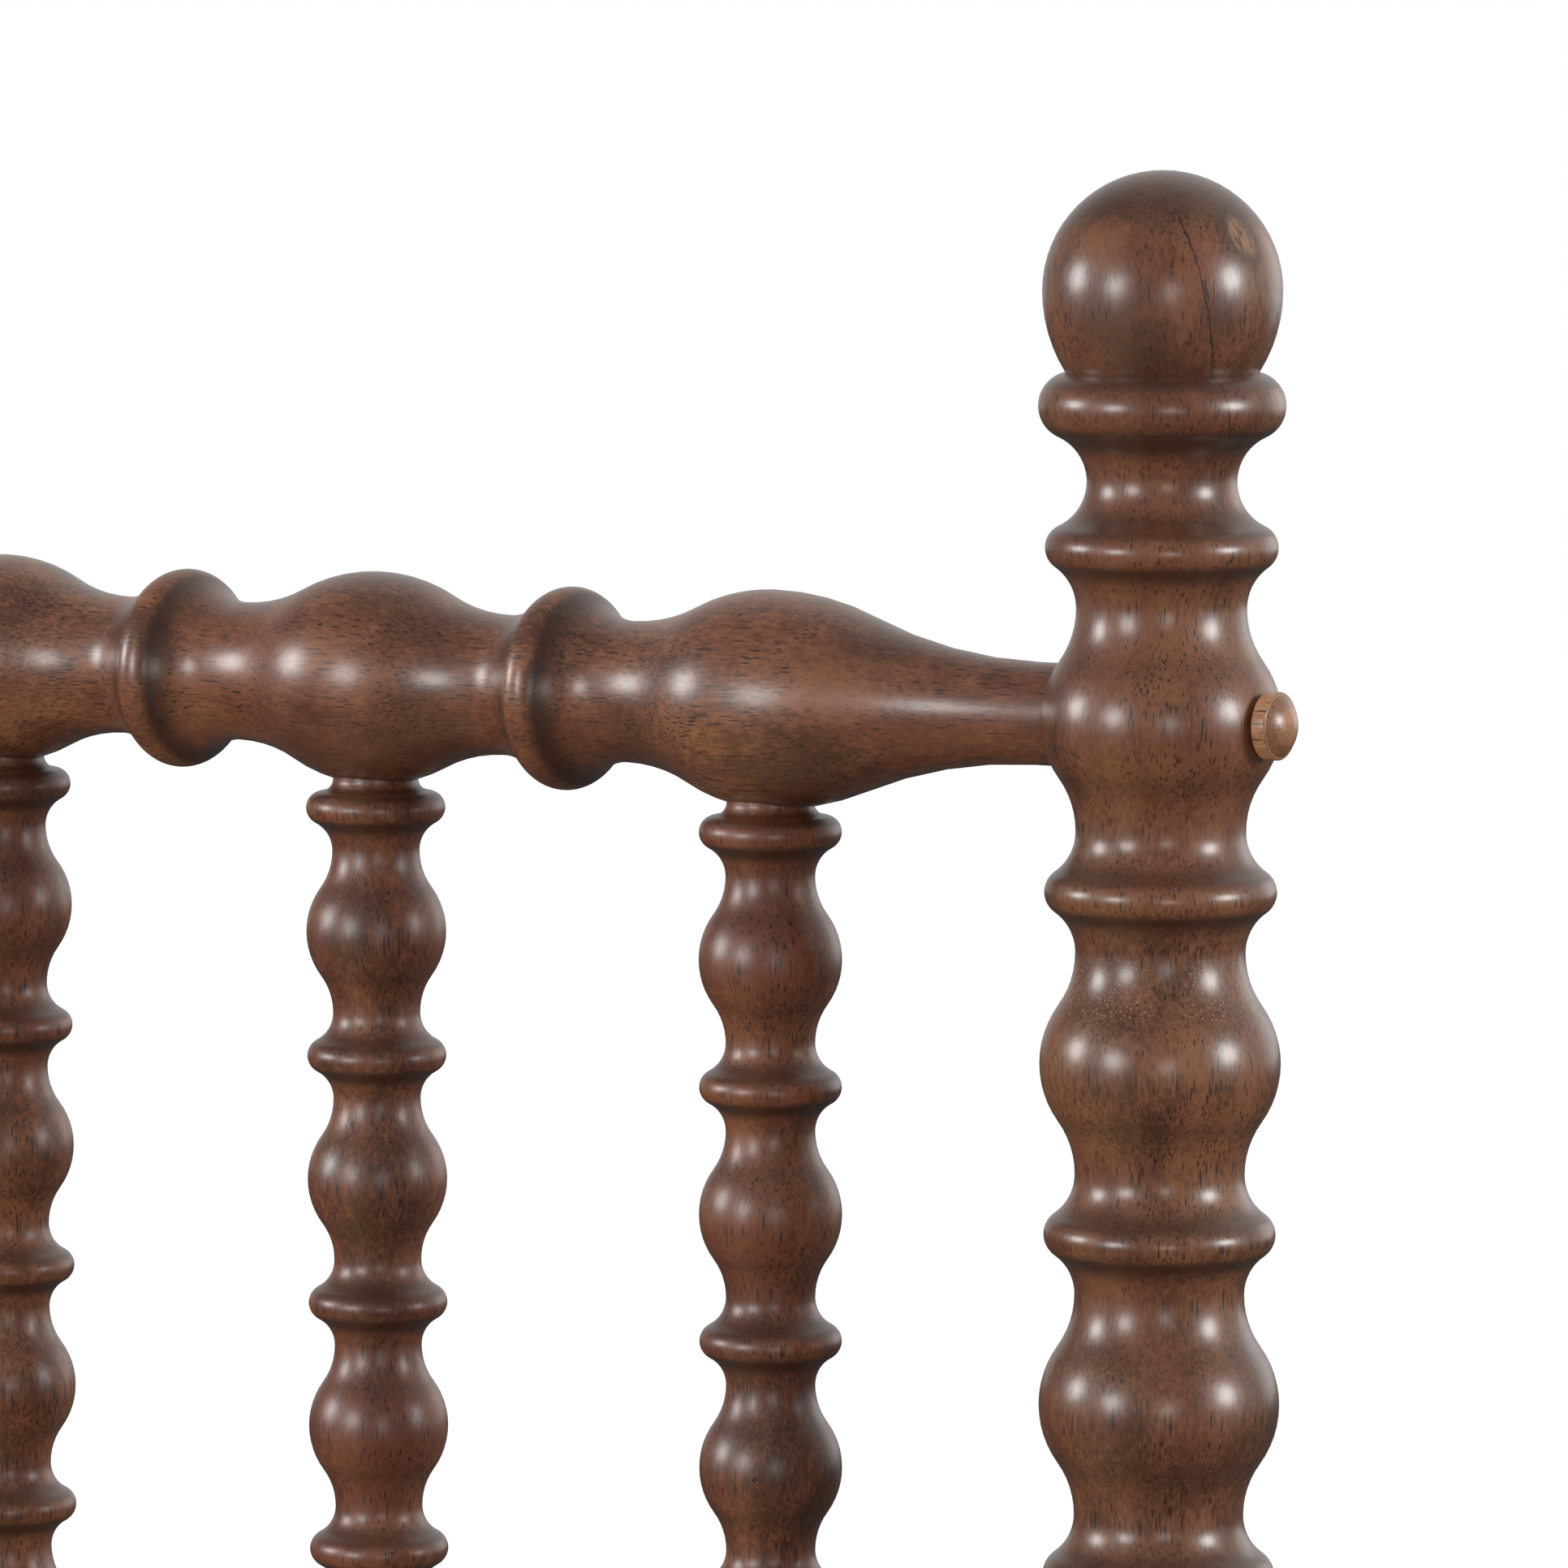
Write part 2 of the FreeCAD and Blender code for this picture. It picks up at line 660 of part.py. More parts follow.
def make_post(label, rail_axis, bulbs, bolt_side):
    """A corner post. Local +X points away from the bed's middle line.

    bolt_side is +1 or -1, the local Y side that the side rail's bolts enter from.
    """
    body = new_piece(label)
    make_turned_foot(body)
    block = make_block(body)
    round_long_edges(body, "block_edges", block, "Z", "block_edge_round")
    turn_off_corners(body)
    make_turned_shaft(body, rail_axis, bulbs)

    on_rail_axis = ("0", rail_axis)
    bore(body, "rail_socket", "X", "-post_bulb_diameter", f"-{SOCKET_FLOOR}",
         on_rail_axis, "rail_end_diameter + 2 * peg_clearance")
    bore(body, "rail_bolt_hole", "X", "-post_bulb_diameter / 2", "post_bulb_diameter / 2",
         on_rail_axis, "rail_bolt_diameter + 2 * bolt_clearance")
    bore(body, "cap_hole", "X", "post_bulb_diameter / 2 - rail_bolt_head_depth",
         "post_bulb_diameter", on_rail_axis, "cap_stem_diameter + 2 * peg_clearance")

    for number, height in enumerate(end_heights("dowel_edge_distance"), start=1):
        bore(body, f"dowel_hole_{number}", "X", "-block_width / 2 - end_clearance",
             "-block_width / 2 + dowel_length / 2 + end_clearance / 2",
             ("0", height), "dowel_diameter + 2 * peg_clearance")
    for number, height in enumerate(end_heights("side_bolt_edge_distance"), start=1):
        bore(body, f"side_bolt_hole_{number}", "Y", "-block_width", "block_width",
             ("0", height), "side_bolt_diameter + 2 * bolt_clearance")
        near, far = "block_width / 2 - side_bolt_head_depth", "block_width"
        if bolt_side < 0:
            near, far = f"-({far})", f"-({near})"
        bore(body, f"side_bolt_seat_{number}", "Y", near, far,
             ("0", height), "side_bolt_head_diameter + 2 * bolt_clearance")
    bore(body, "glide_nail_hole", "Z", "0", "glide_thickness + glide_nail_length + end_clearance",
         ("0", "0"), "glide_nail_diameter + 2 * thread_clearance")
    return body


def end_heights(edge_distance):
    """Two heights above the floor, each that far in from an edge of the boards."""
    return [f"(board_underside + {edge_distance})", f"({BOARD_TOP} - {edge_distance})"]


def make_posts():
    for end, rail_axis, bulbs, _, toward in ENDS:
        for side, hand in (("right", 1), ("left", -1)):
            label = f"{end}_post_{side}"
            body = make_post(label, rail_axis, bulbs, toward * hand)
            turn_by = ((0, 0, 1), 0 if hand > 0 else 180)
            place(body, f"{hand} * {POST_SPACING} / 2",
                  f"{toward} * {POST_LENGTH_SPACING} / 2", "0", turn_by)


# ---------------------------------------------------------------- top rails


def make_top_rail(label, rail_axis, toward):
    """A rail turned upright, then laid so that its local +X points down."""
    body = new_piece(label)
    neck = "rail_neck_diameter / 2"
    crest = "rail_bulb_diameter / 2"
    first_bulb = f"(post_to_spindle - {SOCKET_FLOOR} - end_clearance)"
    bulb_to_neck = f"({SPINDLE_PITCH} / 2 - rail_ring_to_neck)"
    first_neck = f"({first_bulb} + {bulb_to_neck})"
    last_bulb = f"({RAIL_LENGTH} - {first_bulb})"
    last_neck = f"({last_bulb} - {bulb_to_neck})"
    ring = f"({first_neck} + rail_ring_to_neck)"
    last_ring = f"({last_neck} - rail_ring_to_neck)"
    turn(body, "first_end", [
        ("0", "rail_end_diameter / 2"),
        (f"({first_bulb} - rail_taper_length)", "rail_end_diameter / 2",
         "rail_taper_fullness"),
        (first_bulb, crest, "rail_bulb_fullness"),
        (first_neck, neck),
    ])
    unit = turn(body, "ring_and_bulb", [
        (first_neck, neck, "rail_ring_fullness"),
        (ring, "rail_ring_diameter / 2", "rail_ring_fullness"),
        (f"({ring} + rail_ring_to_neck)", neck, "rail_bulb_fullness"),
        (f"({first_bulb} + {SPINDLE_PITCH})", crest, "rail_bulb_fullness"),
        (f"({first_neck} + {SPINDLE_PITCH})", neck),
    ])
    repeat(body, "rings_and_bulbs", unit, "Z", SPINDLE_PITCH, "(spindle_count - 2)")
    turn(body, "last_end", [
        (f"({last_ring} - rail_ring_to_neck)", neck, "rail_ring_fullness"),
        (last_ring, "rail_ring_diameter / 2", "rail_ring_fullness"),
        (last_neck, neck, "rail_bulb_fullness"),
        (last_bulb, crest, "rail_taper_fullness"),
        (f"({last_bulb} + rail_taper_length)", "rail_end_diameter / 2"),
        (RAIL_LENGTH, "rail_end_diameter / 2"),
    ])
    socket = bore(body, "spindle_socket", "X", SPINDLE_SOCKET_FLOOR, "rail_bulb_diameter",
                  ("0", first_bulb), "spindle_shoulder_diameter + 2 * peg_clearance")
    repeat(body, "spindle_sockets", socket, "Z", SPINDLE_PITCH, "spindle_count")
    insert_radius = "(insert_diameter / 2 + peg_clearance)"
    pilot_radius = "(rail_bolt_diameter / 2 + bolt_clearance)"
    insert_floor = "(insert_length + end_clearance)"
    pilot_floor = "(rail_bolt_length + end_clearance)"
    turn_away(body, "first_insert_hole", [
        ("0", insert_radius),
        (insert_floor, insert_radius),
        (insert_floor, pilot_radius),
        (pilot_floor, pilot_radius),
    ])
    turn_away(body, "last_insert_hole", [
        (f"({RAIL_LENGTH} - {pilot_floor})", pilot_radius),
        (f"({RAIL_LENGTH} - {insert_floor})", pilot_radius),
        (f"({RAIL_LENGTH} - {insert_floor})", insert_radius),
        (RAIL_LENGTH, insert_radius),
    ])
    place(body, f"-{RAIL_LENGTH} / 2", f"{toward} * {POST_LENGTH_SPACING} / 2", rail_axis,
          ((0, 1, 0), 90))


# ---------------------------------------------------------------- spindles


def make_spindle(label, bulbs):
    """A turned spindle, upright, its lower tenon starting at the origin."""
    body = new_piece(label)
    neck = "spindle_neck_diameter / 2"
    bulb_crest = "spindle_bulb_diameter / 2"
    bead_crest = "spindle_bead_diameter / 2"
    shoulder = "spindle_shoulder_diameter / 2"
    first_bead = "(spindle_bottom_tenon + spindle_end_rise)"
    first_neck = f"({first_bead} + spindle_bead_to_neck)"
    first_bulb = f"({first_bead} + spindle_period / 2)"
    last_bead = f"({first_bead} + {bulbs} * spindle_period)"
    last_bulb = f"({last_bead} - spindle_period / 2)"
    upper_neck = f"({first_bead} + spindle_period - spindle_bead_to_neck)"
    turn(body, "lower_end", [
        ("0", "spindle_bottom_tenon_diameter / 2"),
        ("spindle_bottom_tenon", "spindle_bottom_tenon_diameter / 2"),
        ("spindle_bottom_tenon", shoulder, "spindle_end_fullness"),
        (first_bead, bead_crest, "spindle_bead_fullness"),
        (first_neck, neck),
    ])
    unit = turn(body, "bulb_and_bead", [
        (first_neck, neck, "spindle_bulb_fullness"),
        (first_bulb, bulb_crest, "spindle_bulb_fullness"),
        (upper_neck, neck, "spindle_bead_fullness"),
        (f"({first_bead} + spindle_period)", bead_crest, "spindle_bead_fullness"),
        (f"({first_neck} + spindle_period)", neck),
    ])
    repeat(body, "bulbs_and_beads", unit, "Z", "spindle_period", f"({bulbs} - 1)")
    turn(body, "upper_end", [
        (f"({last_bead} - spindle_period + spindle_bead_to_neck)", neck,
         "spindle_bulb_fullness"),
        (last_bulb, bulb_crest, "spindle_bulb_fullness"),
        (f"({last_bead} - spindle_bead_to_neck)", neck, "spindle_bead_fullness"),
        (last_bead, bead_crest, "spindle_end_fullness"),
        (f"({last_bead} + spindle_end_rise)", shoulder),
        (f"({last_bead} + spindle_end_rise + spindle_top_tenon)", shoulder),
    ])
    return body


def make_ends():
    for end, rail_axis, _, bulbs, toward in ENDS:
        make_top_rail(f"{end}_top_rail", rail_axis, toward)
        make_lower_rail(f"{end}_lower_rail", toward)
        for number in range(int(size("spindle_count"))):
            body = make_spindle(f"{end}_spindle_{number + 1}", bulbs)
            place(body, f"post_to_spindle - {POST_SPACING} / 2 + {number} * {SPINDLE_PITCH}",
                  f"{toward} * {POST_LENGTH_SPACING} / 2",
                  f"{BOARD_TOP} - spindle_bottom_tenon")


# ---------------------------------------------------------------- boards


def make_board(label, length, thickness, height, edge_round):
    """A board along local X, its section in the first quarter of the YZ plane."""
    body = new_piece(label)
    section = new_sketch(body, "section", "YZ_Plane")
    polygon(section, [("0", "0"), (thickness, "0"), (thickness, height), ("0", height)])
    board = pad(body, "board", section, length)
    if edge_round:
        round_long_edges(body, "eased_edges", board, "X", edge_round)
    return body


def make_lower_rail(label, toward):
    """The flat rail under the spindles. Local Y = 0 is its face towards the mattress."""
    length = END_BOARD_LENGTH
    middle = "end_board_thickness / 2"
    body = make_board(label, length, "end_board_thickness", "board_height",
                      "board_edge_round")
    first = "(post_to_spindle - block_width / 2)"
    socket = bore(body, "spindle_socket", "Z",
                  "board_height - spindle_bottom_tenon - end_clearance", "board_height",
                  (first, middle), "spindle_bottom_tenon_diameter + 2 * peg_clearance")
    repeat(body, "spindle_sockets", socket, "X", SPINDLE_PITCH, "spindle_count")
    depth = "(dowel_length / 2 + end_clearance / 2)"
    rise = "board_height - 2 * dowel_edge_distance"
    for name, start in (("first", "0"), ("last", f"({length} - {depth})")):
        hole = bore(body, f"{name}_dowel_hole", "X", start, f"({start} + {depth})",
                    (middle, "dowel_edge_distance"), "dowel_diameter + 2 * peg_clearance")
        repeat(body, f"{name}_dowel_holes", hole, "Z", f"({rise})", "2")
    screw = bore(body, "bracket_screw_hole", "Y", "0", "bracket_screw_length",
                 (f"({length} / 2 - {BRACKET_SCREW_OFFSET})", BRACKET_SCREW_LOW),
                 "screw_diameter + 2 * thread_clearance")
    repeat(body, "bracket_screw_holes", screw, "X", f"(2 * {BRACKET_SCREW_OFFSET})", "2",
           ("Z", "bracket_screw_spread", "2"))
    face = f"({POST_LENGTH_SPACING} / 2 - end_board_thickness / 2)"
    if toward > 0:
        place(body, f"-{length} / 2", face, "board_underside", ((0, 0, 1), 0))
    else:
        place(body, f"{length} / 2", f"-{face}", "board_underside", ((0, 0, 1), 180))


def make_side_rail(label, hand):
    """A side rail. Its far local Y face looks into the bed."""
    length = SIDE_BOARD_LENGTH
    middle = "side_board_thickness / 2"
    body = make_board(label, length, "side_board_thickness", "board_height",
                      "board_edge_round")
    depth = "(side_bolt_length - block_width + side_bolt_head_depth + end_clearance)"
    rise = "(board_height - 2 * side_bolt_edge_distance)"
    for name, start, nut in (
        ("first", "0", "barrel_nut_from_end"),
        ("last", f"({length} - {depth})", f"({length} - barrel_nut_from_end)"),
    ):
        hole = bore(body, f"{name}_bolt_hole", "X", start, f"({start} + {depth})",
                    (middle, "side_bolt_edge_distance"),
                    "side_bolt_diameter + 2 * bolt_clearance")
        repeat(body, f"{name}_bolt_holes", hole, "Z", rise, "2")
        hole = bore(body, f"{name}_nut_hole", "Y",
                    "side_board_thickness - barrel_nut_length - end_clearance",
                    "side_board_thickness", (nut, "side_bolt_edge_distance"),
                    "barrel_nut_diameter + 2 * peg_clearance")
        repeat(body, f"{name}_nut_holes", hole, "Z", rise, "2")
    screw = bore(body, "ledger_screw_hole", "Y",
                 "side_board_thickness - screw_grip - end_clearance",
                 "side_board_thickness",
                 ("(ledger_end_gap + ledger_screw_from_end)",
                  "(ledger_rise + ledger_height / 2)"),
                 "screw_diameter + 2 * thread_clearance")
    repeat(body, "ledger_screw_holes", screw, "X", LEDGER_SCREW_PITCH,
           "ledger_screw_count")
    place(body, f"{hand} * ({POST_SPACING} + side_board_thickness) / 2",
          f"{-hand} * {length} / 2", "board_underside", ((0, 0, 1), hand * 90))


def make_ledger(label, hand):
    """The strip that carries the slats. Its first local Y face lies on the side rail."""
    length = LEDGER_LENGTH
    body = make_board(label, length, "ledger_width", "ledger_height", None)
    side = ("ledger_screw_from_end", "ledger_height / 2")
    hole = bore(body, "side_screw_hole", "Y", "0", "ledger_width", side,
                "screw_diameter + 2 * bolt_clearance")
    repeat(body, "side_screw_holes", hole, "X", LEDGER_SCREW_PITCH, "ledger_screw_count")
    seat = bore(body, "side_screw_seat", "Y", "ledger_width / 2", "ledger_width", side,
                "screw_head_diameter + 2 * bolt_clearance")
    repeat(body, "side_screw_seats", seat, "X", LEDGER_SCREW_PITCH, "ledger_screw_count")
    top = bore(body, "slat_screw_hole", "Z",
               "ledger_height - screw_grip - end_clearance", "ledger_height",
               ("(first_slat_distance - ledger_end_gap)",
                "(slat_screw_from_end + slat_end_play)"),
               "screw_diameter + 2 * thread_clearance")
    repeat(body, "slat_screw_holes", top, "X", SLAT_PITCH, "slat_count")
    place(body, f"{hand} * ({POST_SPACING} - side_board_thickness) / 2",
          f"{-hand} * {length} / 2", "(board_underside + ledger_rise)",
          ((0, 0, 1), hand * 90))


def make_slats():
    for number in range(int(size("slat_count"))):
        body = make_board(f"slat_{number + 1:02d}", SLAT_LENGTH, "slat_width",
                          "slat_thickness", "slat_edge_round")
        middle = ("slat_screw_from_end", "slat_width / 2")
        reach = f"({SLAT_LENGTH} - 2 * slat_screw_from_end)"
        hole = bore(body, "screw_hole", "Z", "0", "slat_thickness", middle,
                    "screw_diameter + 2 * bolt_clearance")
        repeat(body, "screw_holes", hole, "X", reach, "2")
        seat = bore(body, "screw_seat", "Z", SLAT_SCREW_SEAT, "slat_thickness", middle,
                    "screw_head_diameter + 2 * bolt_clearance")
        repeat(body, "screw_seats", seat, "X", reach, "2")
        place(body, f"-{SLAT_LENGTH} / 2",
              f"first_slat_distance - {SIDE_BOARD_LENGTH} / 2"
              f" + {number} * {SLAT_PITCH} - slat_width / 2", SLAT_UNDERSIDE)


# ---------------------------------------------------------------- centre beam


def make_center_beam():
    body = make_board("center_beam", BEAM_LENGTH, "beam_width", "beam_height",
                      "slat_edge_round")
    hole = bore(body, "leg_stud_hole", "Z", "0", "(leg_stud_length + end_clearance) / 2",
                (f"({BEAM_LENGTH} / 2 - leg_distance)", "beam_width / 2"),
                "leg_stud_diameter + 2 * thread_clearance")
    repeat(body, "leg_stud_holes", hole, "X", "(2 * leg_distance)", "2")
    place(body, "beam_width / 2", f"-{BEAM_LENGTH} / 2", BEAM_UNDERSIDE,
          ((0, 0, 1), 90))


def make_beam_brackets():
    """Steel hangers on the lower rails: a wing plate and a U-shaped seat."""
    body = new_piece("beam_brackets")
    body.AllowCompound = True
    half = "(beam_width / 2 + bracket_thickness)"
    low = f"({BEAM_UNDERSIDE} - bracket_thickness)"
    face = f"({POST_LENGTH_SPACING} / 2 - end_board_thickness / 2)"
    lift = ("0", "0", f"-({face} - bracket_reach)")
    seat = new_sketch(body, "seat_section", "XZ_Plane", lift)
    mirrored_outline(seat, [
        (half, low),
        (half, SLAT_UNDERSIDE),
        ("beam_width / 2", SLAT_UNDERSIDE),
        ("beam_width / 2", BEAM_UNDERSIDE),
    ])
    trough = pad(body, "seat", seat, "bracket_reach")
    trough.Reversed = True
    wide = f"({half} + bracket_wing)"
    plate_lift = ("0", "0", f"-({face} - bracket_thickness)")
    plate = new_sketch(body, "plate_outline", "XZ_Plane", plate_lift)
    mirrored_outline(plate, [(wide, low), (wide, SLAT_UNDERSIDE)])
    back = pad(body, "plate", plate, "bracket_thickness")
    back.Reversed = True
    for side, sign in (("right", ""), ("left", "-")):
        for name, height in (
            ("low", f"(board_underside + {BRACKET_SCREW_LOW})"),
            ("high", f"(board_underside + {BRACKET_SCREW_LOW} + bracket_screw_spread)"),
        ):
            bore_at_side(body, f"{side}_{name}_hole", face, height, sign)
    mirror_whole(body, "foot_end_bracket", "XZ_Plane")


def mirrored_outline(sketch, right_side):
    """An outline that is the same left and right of the V axis.

    The corners of its right side are given in order, from the bottom up.
    """
    right = [(size(x), size(y)) for x, y in right_side]
    left = [(-x, y) for x, y in reversed(right)]
    points = [FreeCAD.Vector(x, y, 0) for x, y in right + left]
    chain = []
    for here, there in zip(points, points[1:] + points[:1]):
        edge = sketch.addGeometry(Part.LineSegment(here, there))
        chain.append(((edge, START), (edge, END)))
    join_chain(sketch, chain)
    for number, (x, y) in enumerate(right_side):
        head, _ = chain[number]
        twin, _ = chain[len(points) - 1 - number]
        pin_point(sketch, *head, x, y, f"corner_{number}")
        sketch.addConstraint(Sketcher.Constraint("Symmetric", *head, *twin, ON_V_AXIS))


def bore_at_side(body, name, face, height, sign):
    """A screw hole through the bracket's plate, right or left of the beam."""
    offset = (f"{sign}{BRACKET_SCREW_OFFSET}", height, f"-({face} - bracket_reach)")
    sketch = new_sketch(body, f"{name}_circle", "XZ_Plane", offset)
    circle = sketch.addGeometry(
        Part.Circle(FreeCAD.Vector(), FreeCAD.Vector(0, 0, 1), size("screw_diameter / 2"))
    )
    pin_point(sketch, circle, CENTRE, "0", "0", "centre")
    bind(sketch, "Diameter", (circle,), "screw_diameter + 2 * bolt_clearance", "diameter")
    hole = body.newObject("PartDesign::Pocket", name)
    hole.Profile = sketch
    hole.setExpression("Length", bound("bracket_reach"))
    body.Tip = hole


def make_center_legs():
    for name, sign in (("front", "-"), ("rear", "")):
        y = f"{sign}leg_distance"
        leg = new_piece(f"center_leg_{name}")
        turn(leg, "turned_leg", [
            ("leg_floor_gap", "leg_bottom_diameter / 2"),
            (BEAM_UNDERSIDE, "leg_top_diameter / 2"),
        ])
        stem_radius = "(foot_stem_diameter / 2 + bolt_clearance)"
        insert_radius = "(foot_insert_diameter / 2 + peg_clearance)"
        insert_floor = "(leg_floor_gap + foot_insert_length + end_clearance)"
        turn_away(leg, "foot_hole", [
            ("leg_floor_gap", insert_radius),
            (insert_floor, insert_radius),
            (insert_floor, stem_radius),
            ("(leg_floor_gap + foot_stem_length + foot_nut_height)", stem_radius),
        ])
        bore(leg, "stud_hole", "Z",
             f"{BEAM_UNDERSIDE} - (leg_stud_length + end_clearance) / 2", BEAM_UNDERSIDE,
             ("0", "0"), "leg_stud_diameter + 2 * thread_clearance")
        place(leg, "0", y, "0")

        foot = new_piece(f"leveling_foot_{name}")
        nut_top = "(foot_disc_height + foot_nut_height)"
        turn(foot, "disc_and_stem", [
            ("0", "foot_disc_diameter / 2 - foot_disc_rim"),
            ("foot_disc_rim", "foot_disc_diameter / 2"),
            ("foot_disc_height / 2", "foot_disc_diameter / 2"),
            ("foot_disc_height", "foot_nut_diameter / 2"),
            (nut_top, "foot_nut_diameter / 2"),
            (nut_top, "foot_stem_diameter / 2"),
            (f"({nut_top} + foot_stem_length)", "foot_stem_diameter / 2"),
        ])
        place(foot, "0", y, "0")


def make_leg_hardware():
    studs = new_piece("leg_studs")
    studs.AllowCompound = True
    half = "leg_stud_length / 2"
    stud = turn(studs, "stud", [
        (f"({BEAM_UNDERSIDE} - {half})", "leg_stud_diameter / 2"),
        (f"({BEAM_UNDERSIDE} + {half})", "leg_stud_diameter / 2"),
    ], offset=("0", "0", "leg_distance"))
    repeat(studs, "both_studs", stud, "Y", "(2 * leg_distance)", "2")

    inserts = new_piece("leg_inserts")
    inserts.AllowCompound = True
    insert = turn(inserts, "sleeve", [
        ("leg_floor_gap", "foot_insert_diameter / 2"),
        ("(leg_floor_gap + foot_insert_length)", "foot_insert_diameter / 2"),
    ], offset=("0", "0", "leg_distance"))
    repeat(inserts, "both_sleeves", insert, "Y", "(2 * leg_distance)", "2")
    thread = turn_away(inserts, "thread", [
        ("leg_floor_gap", "foot_stem_diameter / 2 + thread_clearance"),
        ("(leg_floor_gap + foot_insert_length)", "foot_stem_diameter / 2 + thread_clearance"),
    ], offset=("0", "0", "leg_distance"))
    repeat(inserts, "both_threads", thread, "Y", "(2 * leg_distance)", "2")


# ---------------------------------------------------------------- fasteners


def make_rail_fasteners():
    """Caps, bolts and inserts that pull the two top rails into their posts."""
    post_face = f"({POST_SPACING} / 2 + post_bulb_diameter / 2)"
    bolt_seat = f"({post_face} - rail_bolt_head_depth)"
    rail_end = f"({POST_SPACING} / 2 - {SOCKET_FLOOR} - end_clearance)"
    thread_radius = "(rail_bolt_diameter / 2 + thread_clearance)"
    outlines = {
        "cap_plugs": [
            (f"({post_face} - cap_stem_length)", "cap_stem_diameter / 2"),
            (post_face, "cap_stem_diameter / 2"),
            (post_face, "cap_diameter / 2"),
            (f"({post_face} + cap_edge)", "cap_diameter / 2", "dome"),
            (f"({post_face} + cap_edge + cap_dome)", "0"),
        ],
        "top_rail_bolts": [
            (f"({bolt_seat} - rail_bolt_length)", "rail_bolt_diameter / 2"),
            (bolt_seat, "rail_bolt_diameter / 2"),
            (bolt_seat, "rail_bolt_head_diameter / 2"),
            (f"({bolt_seat} + rail_bolt_head_height)", "rail_bolt_head_diameter / 2"),
        ],
        "threaded_inserts": [
            (f"({rail_end} - insert_length)", "insert_diameter / 2"),
            (rail_end, "insert_diameter / 2"),
        ],
    }
    for label, stations in outlines.items():
        body = new_piece(label)
        body.AllowCompound = True
        for end, rail_axis, _, _, toward in ENDS:
            offset = ("0", rail_axis, f"{-toward} * {POST_LENGTH_SPACING} / 2")
            turn(body, end, stations, offset=offset, along="H")
            if label == "threaded_inserts":
                turn_away(body, f"{end}_thread", [
                    (f"({rail_end} - insert_length)", thread_radius),
                    (rail_end, thread_radius),
                ], offset=offset, along="H")
        mirror_whole(body, "left_side", "YZ_Plane")


def make_dowels():
    body = new_piece("dowels")
    body.AllowCompound = True
    joint = f"({POST_SPACING} / 2 - block_width / 2)"
    low, _ = end_heights("dowel_edge_distance")
    dowel = turn(body, "dowel", [
        (f"({joint} - dowel_length / 2)", "dowel_diameter / 2"),
        (f"({joint} + dowel_length / 2)", "dowel_diameter / 2"),
    ], offset=("0", low, f"{POST_LENGTH_SPACING} / 2"), along="H")
    repeat(body, "both_ends", dowel, "Y", POST_LENGTH_SPACING, "2",
           ("Z", "(board_height - 2 * dowel_edge_distance)", "2"))
    mirror_whole(body, "left_side", "YZ_Plane")


def make_side_rail_fasteners():
    """Bolts through the posts along Y, into barrel nuts across the side rails."""
    rise = "(board_height - 2 * side_bolt_edge_distance)"
    low, _ = end_heights("side_bolt_edge_distance")
    seat = f"({POST_LENGTH_SPACING} / 2 + block_width / 2 - side_bolt_head_depth)"
    bolts = new_piece("side_rail_bolts")
    bolts.AllowCompound = True
    bolt = turn(bolts, "bolt", [
        (f"({seat} - side_bolt_length)", "side_bolt_diameter / 2"),
        (seat, "side_bolt_diameter / 2"),
        (seat, "side_bolt_head_diameter / 2"),
        (f"({seat} + side_bolt_head_height)", "side_bolt_head_diameter / 2"),
    ], plane="YZ_Plane", offset=("0", low, f"-{POST_SPACING} / 2"), along="H")
    repeat(bolts, "head_end", bolt, "X", POST_SPACING, "2", ("Z", rise, "2"))
    mirror_whole(bolts, "foot_end", "XZ_Plane")

    nuts = new_piece("barrel_nuts")
    nuts.AllowCompound = True
    inner_face = f"({POST_SPACING} / 2 - side_board_thickness / 2)"
    nut_y = f"({SIDE_BOARD_LENGTH} / 2 - barrel_nut_from_end)"
    nut = turn(nuts, "nut", [
        (inner_face, "barrel_nut_diameter / 2"),
        (f"({inner_face} + barrel_nut_length)", "barrel_nut_diameter / 2"),
    ], offset=("0", low, nut_y), along="H")
    repeat(nuts, "right_side", nut, "Y", f"(2 * {nut_y})", "2", ("Z", rise, "2"))
    hole_radius = "side_bolt_diameter / 2 + thread_clearance"
    hole = turn_away(nuts, "thread", [
        ("0", hole_radius),
        ("2 * barrel_nut_diameter", hole_radius),
    ], plane="YZ_Plane", offset=(f"-({nut_y} + barrel_nut_diameter)", low,
                                 f"{POST_SPACING} / 2"), along="H")
    repeat(nuts, "threads", hole, "Y", f"(2 * {nut_y})", "2", ("Z", rise, "2"))
    mirror_whole(nuts, "left_side", "YZ_Plane")


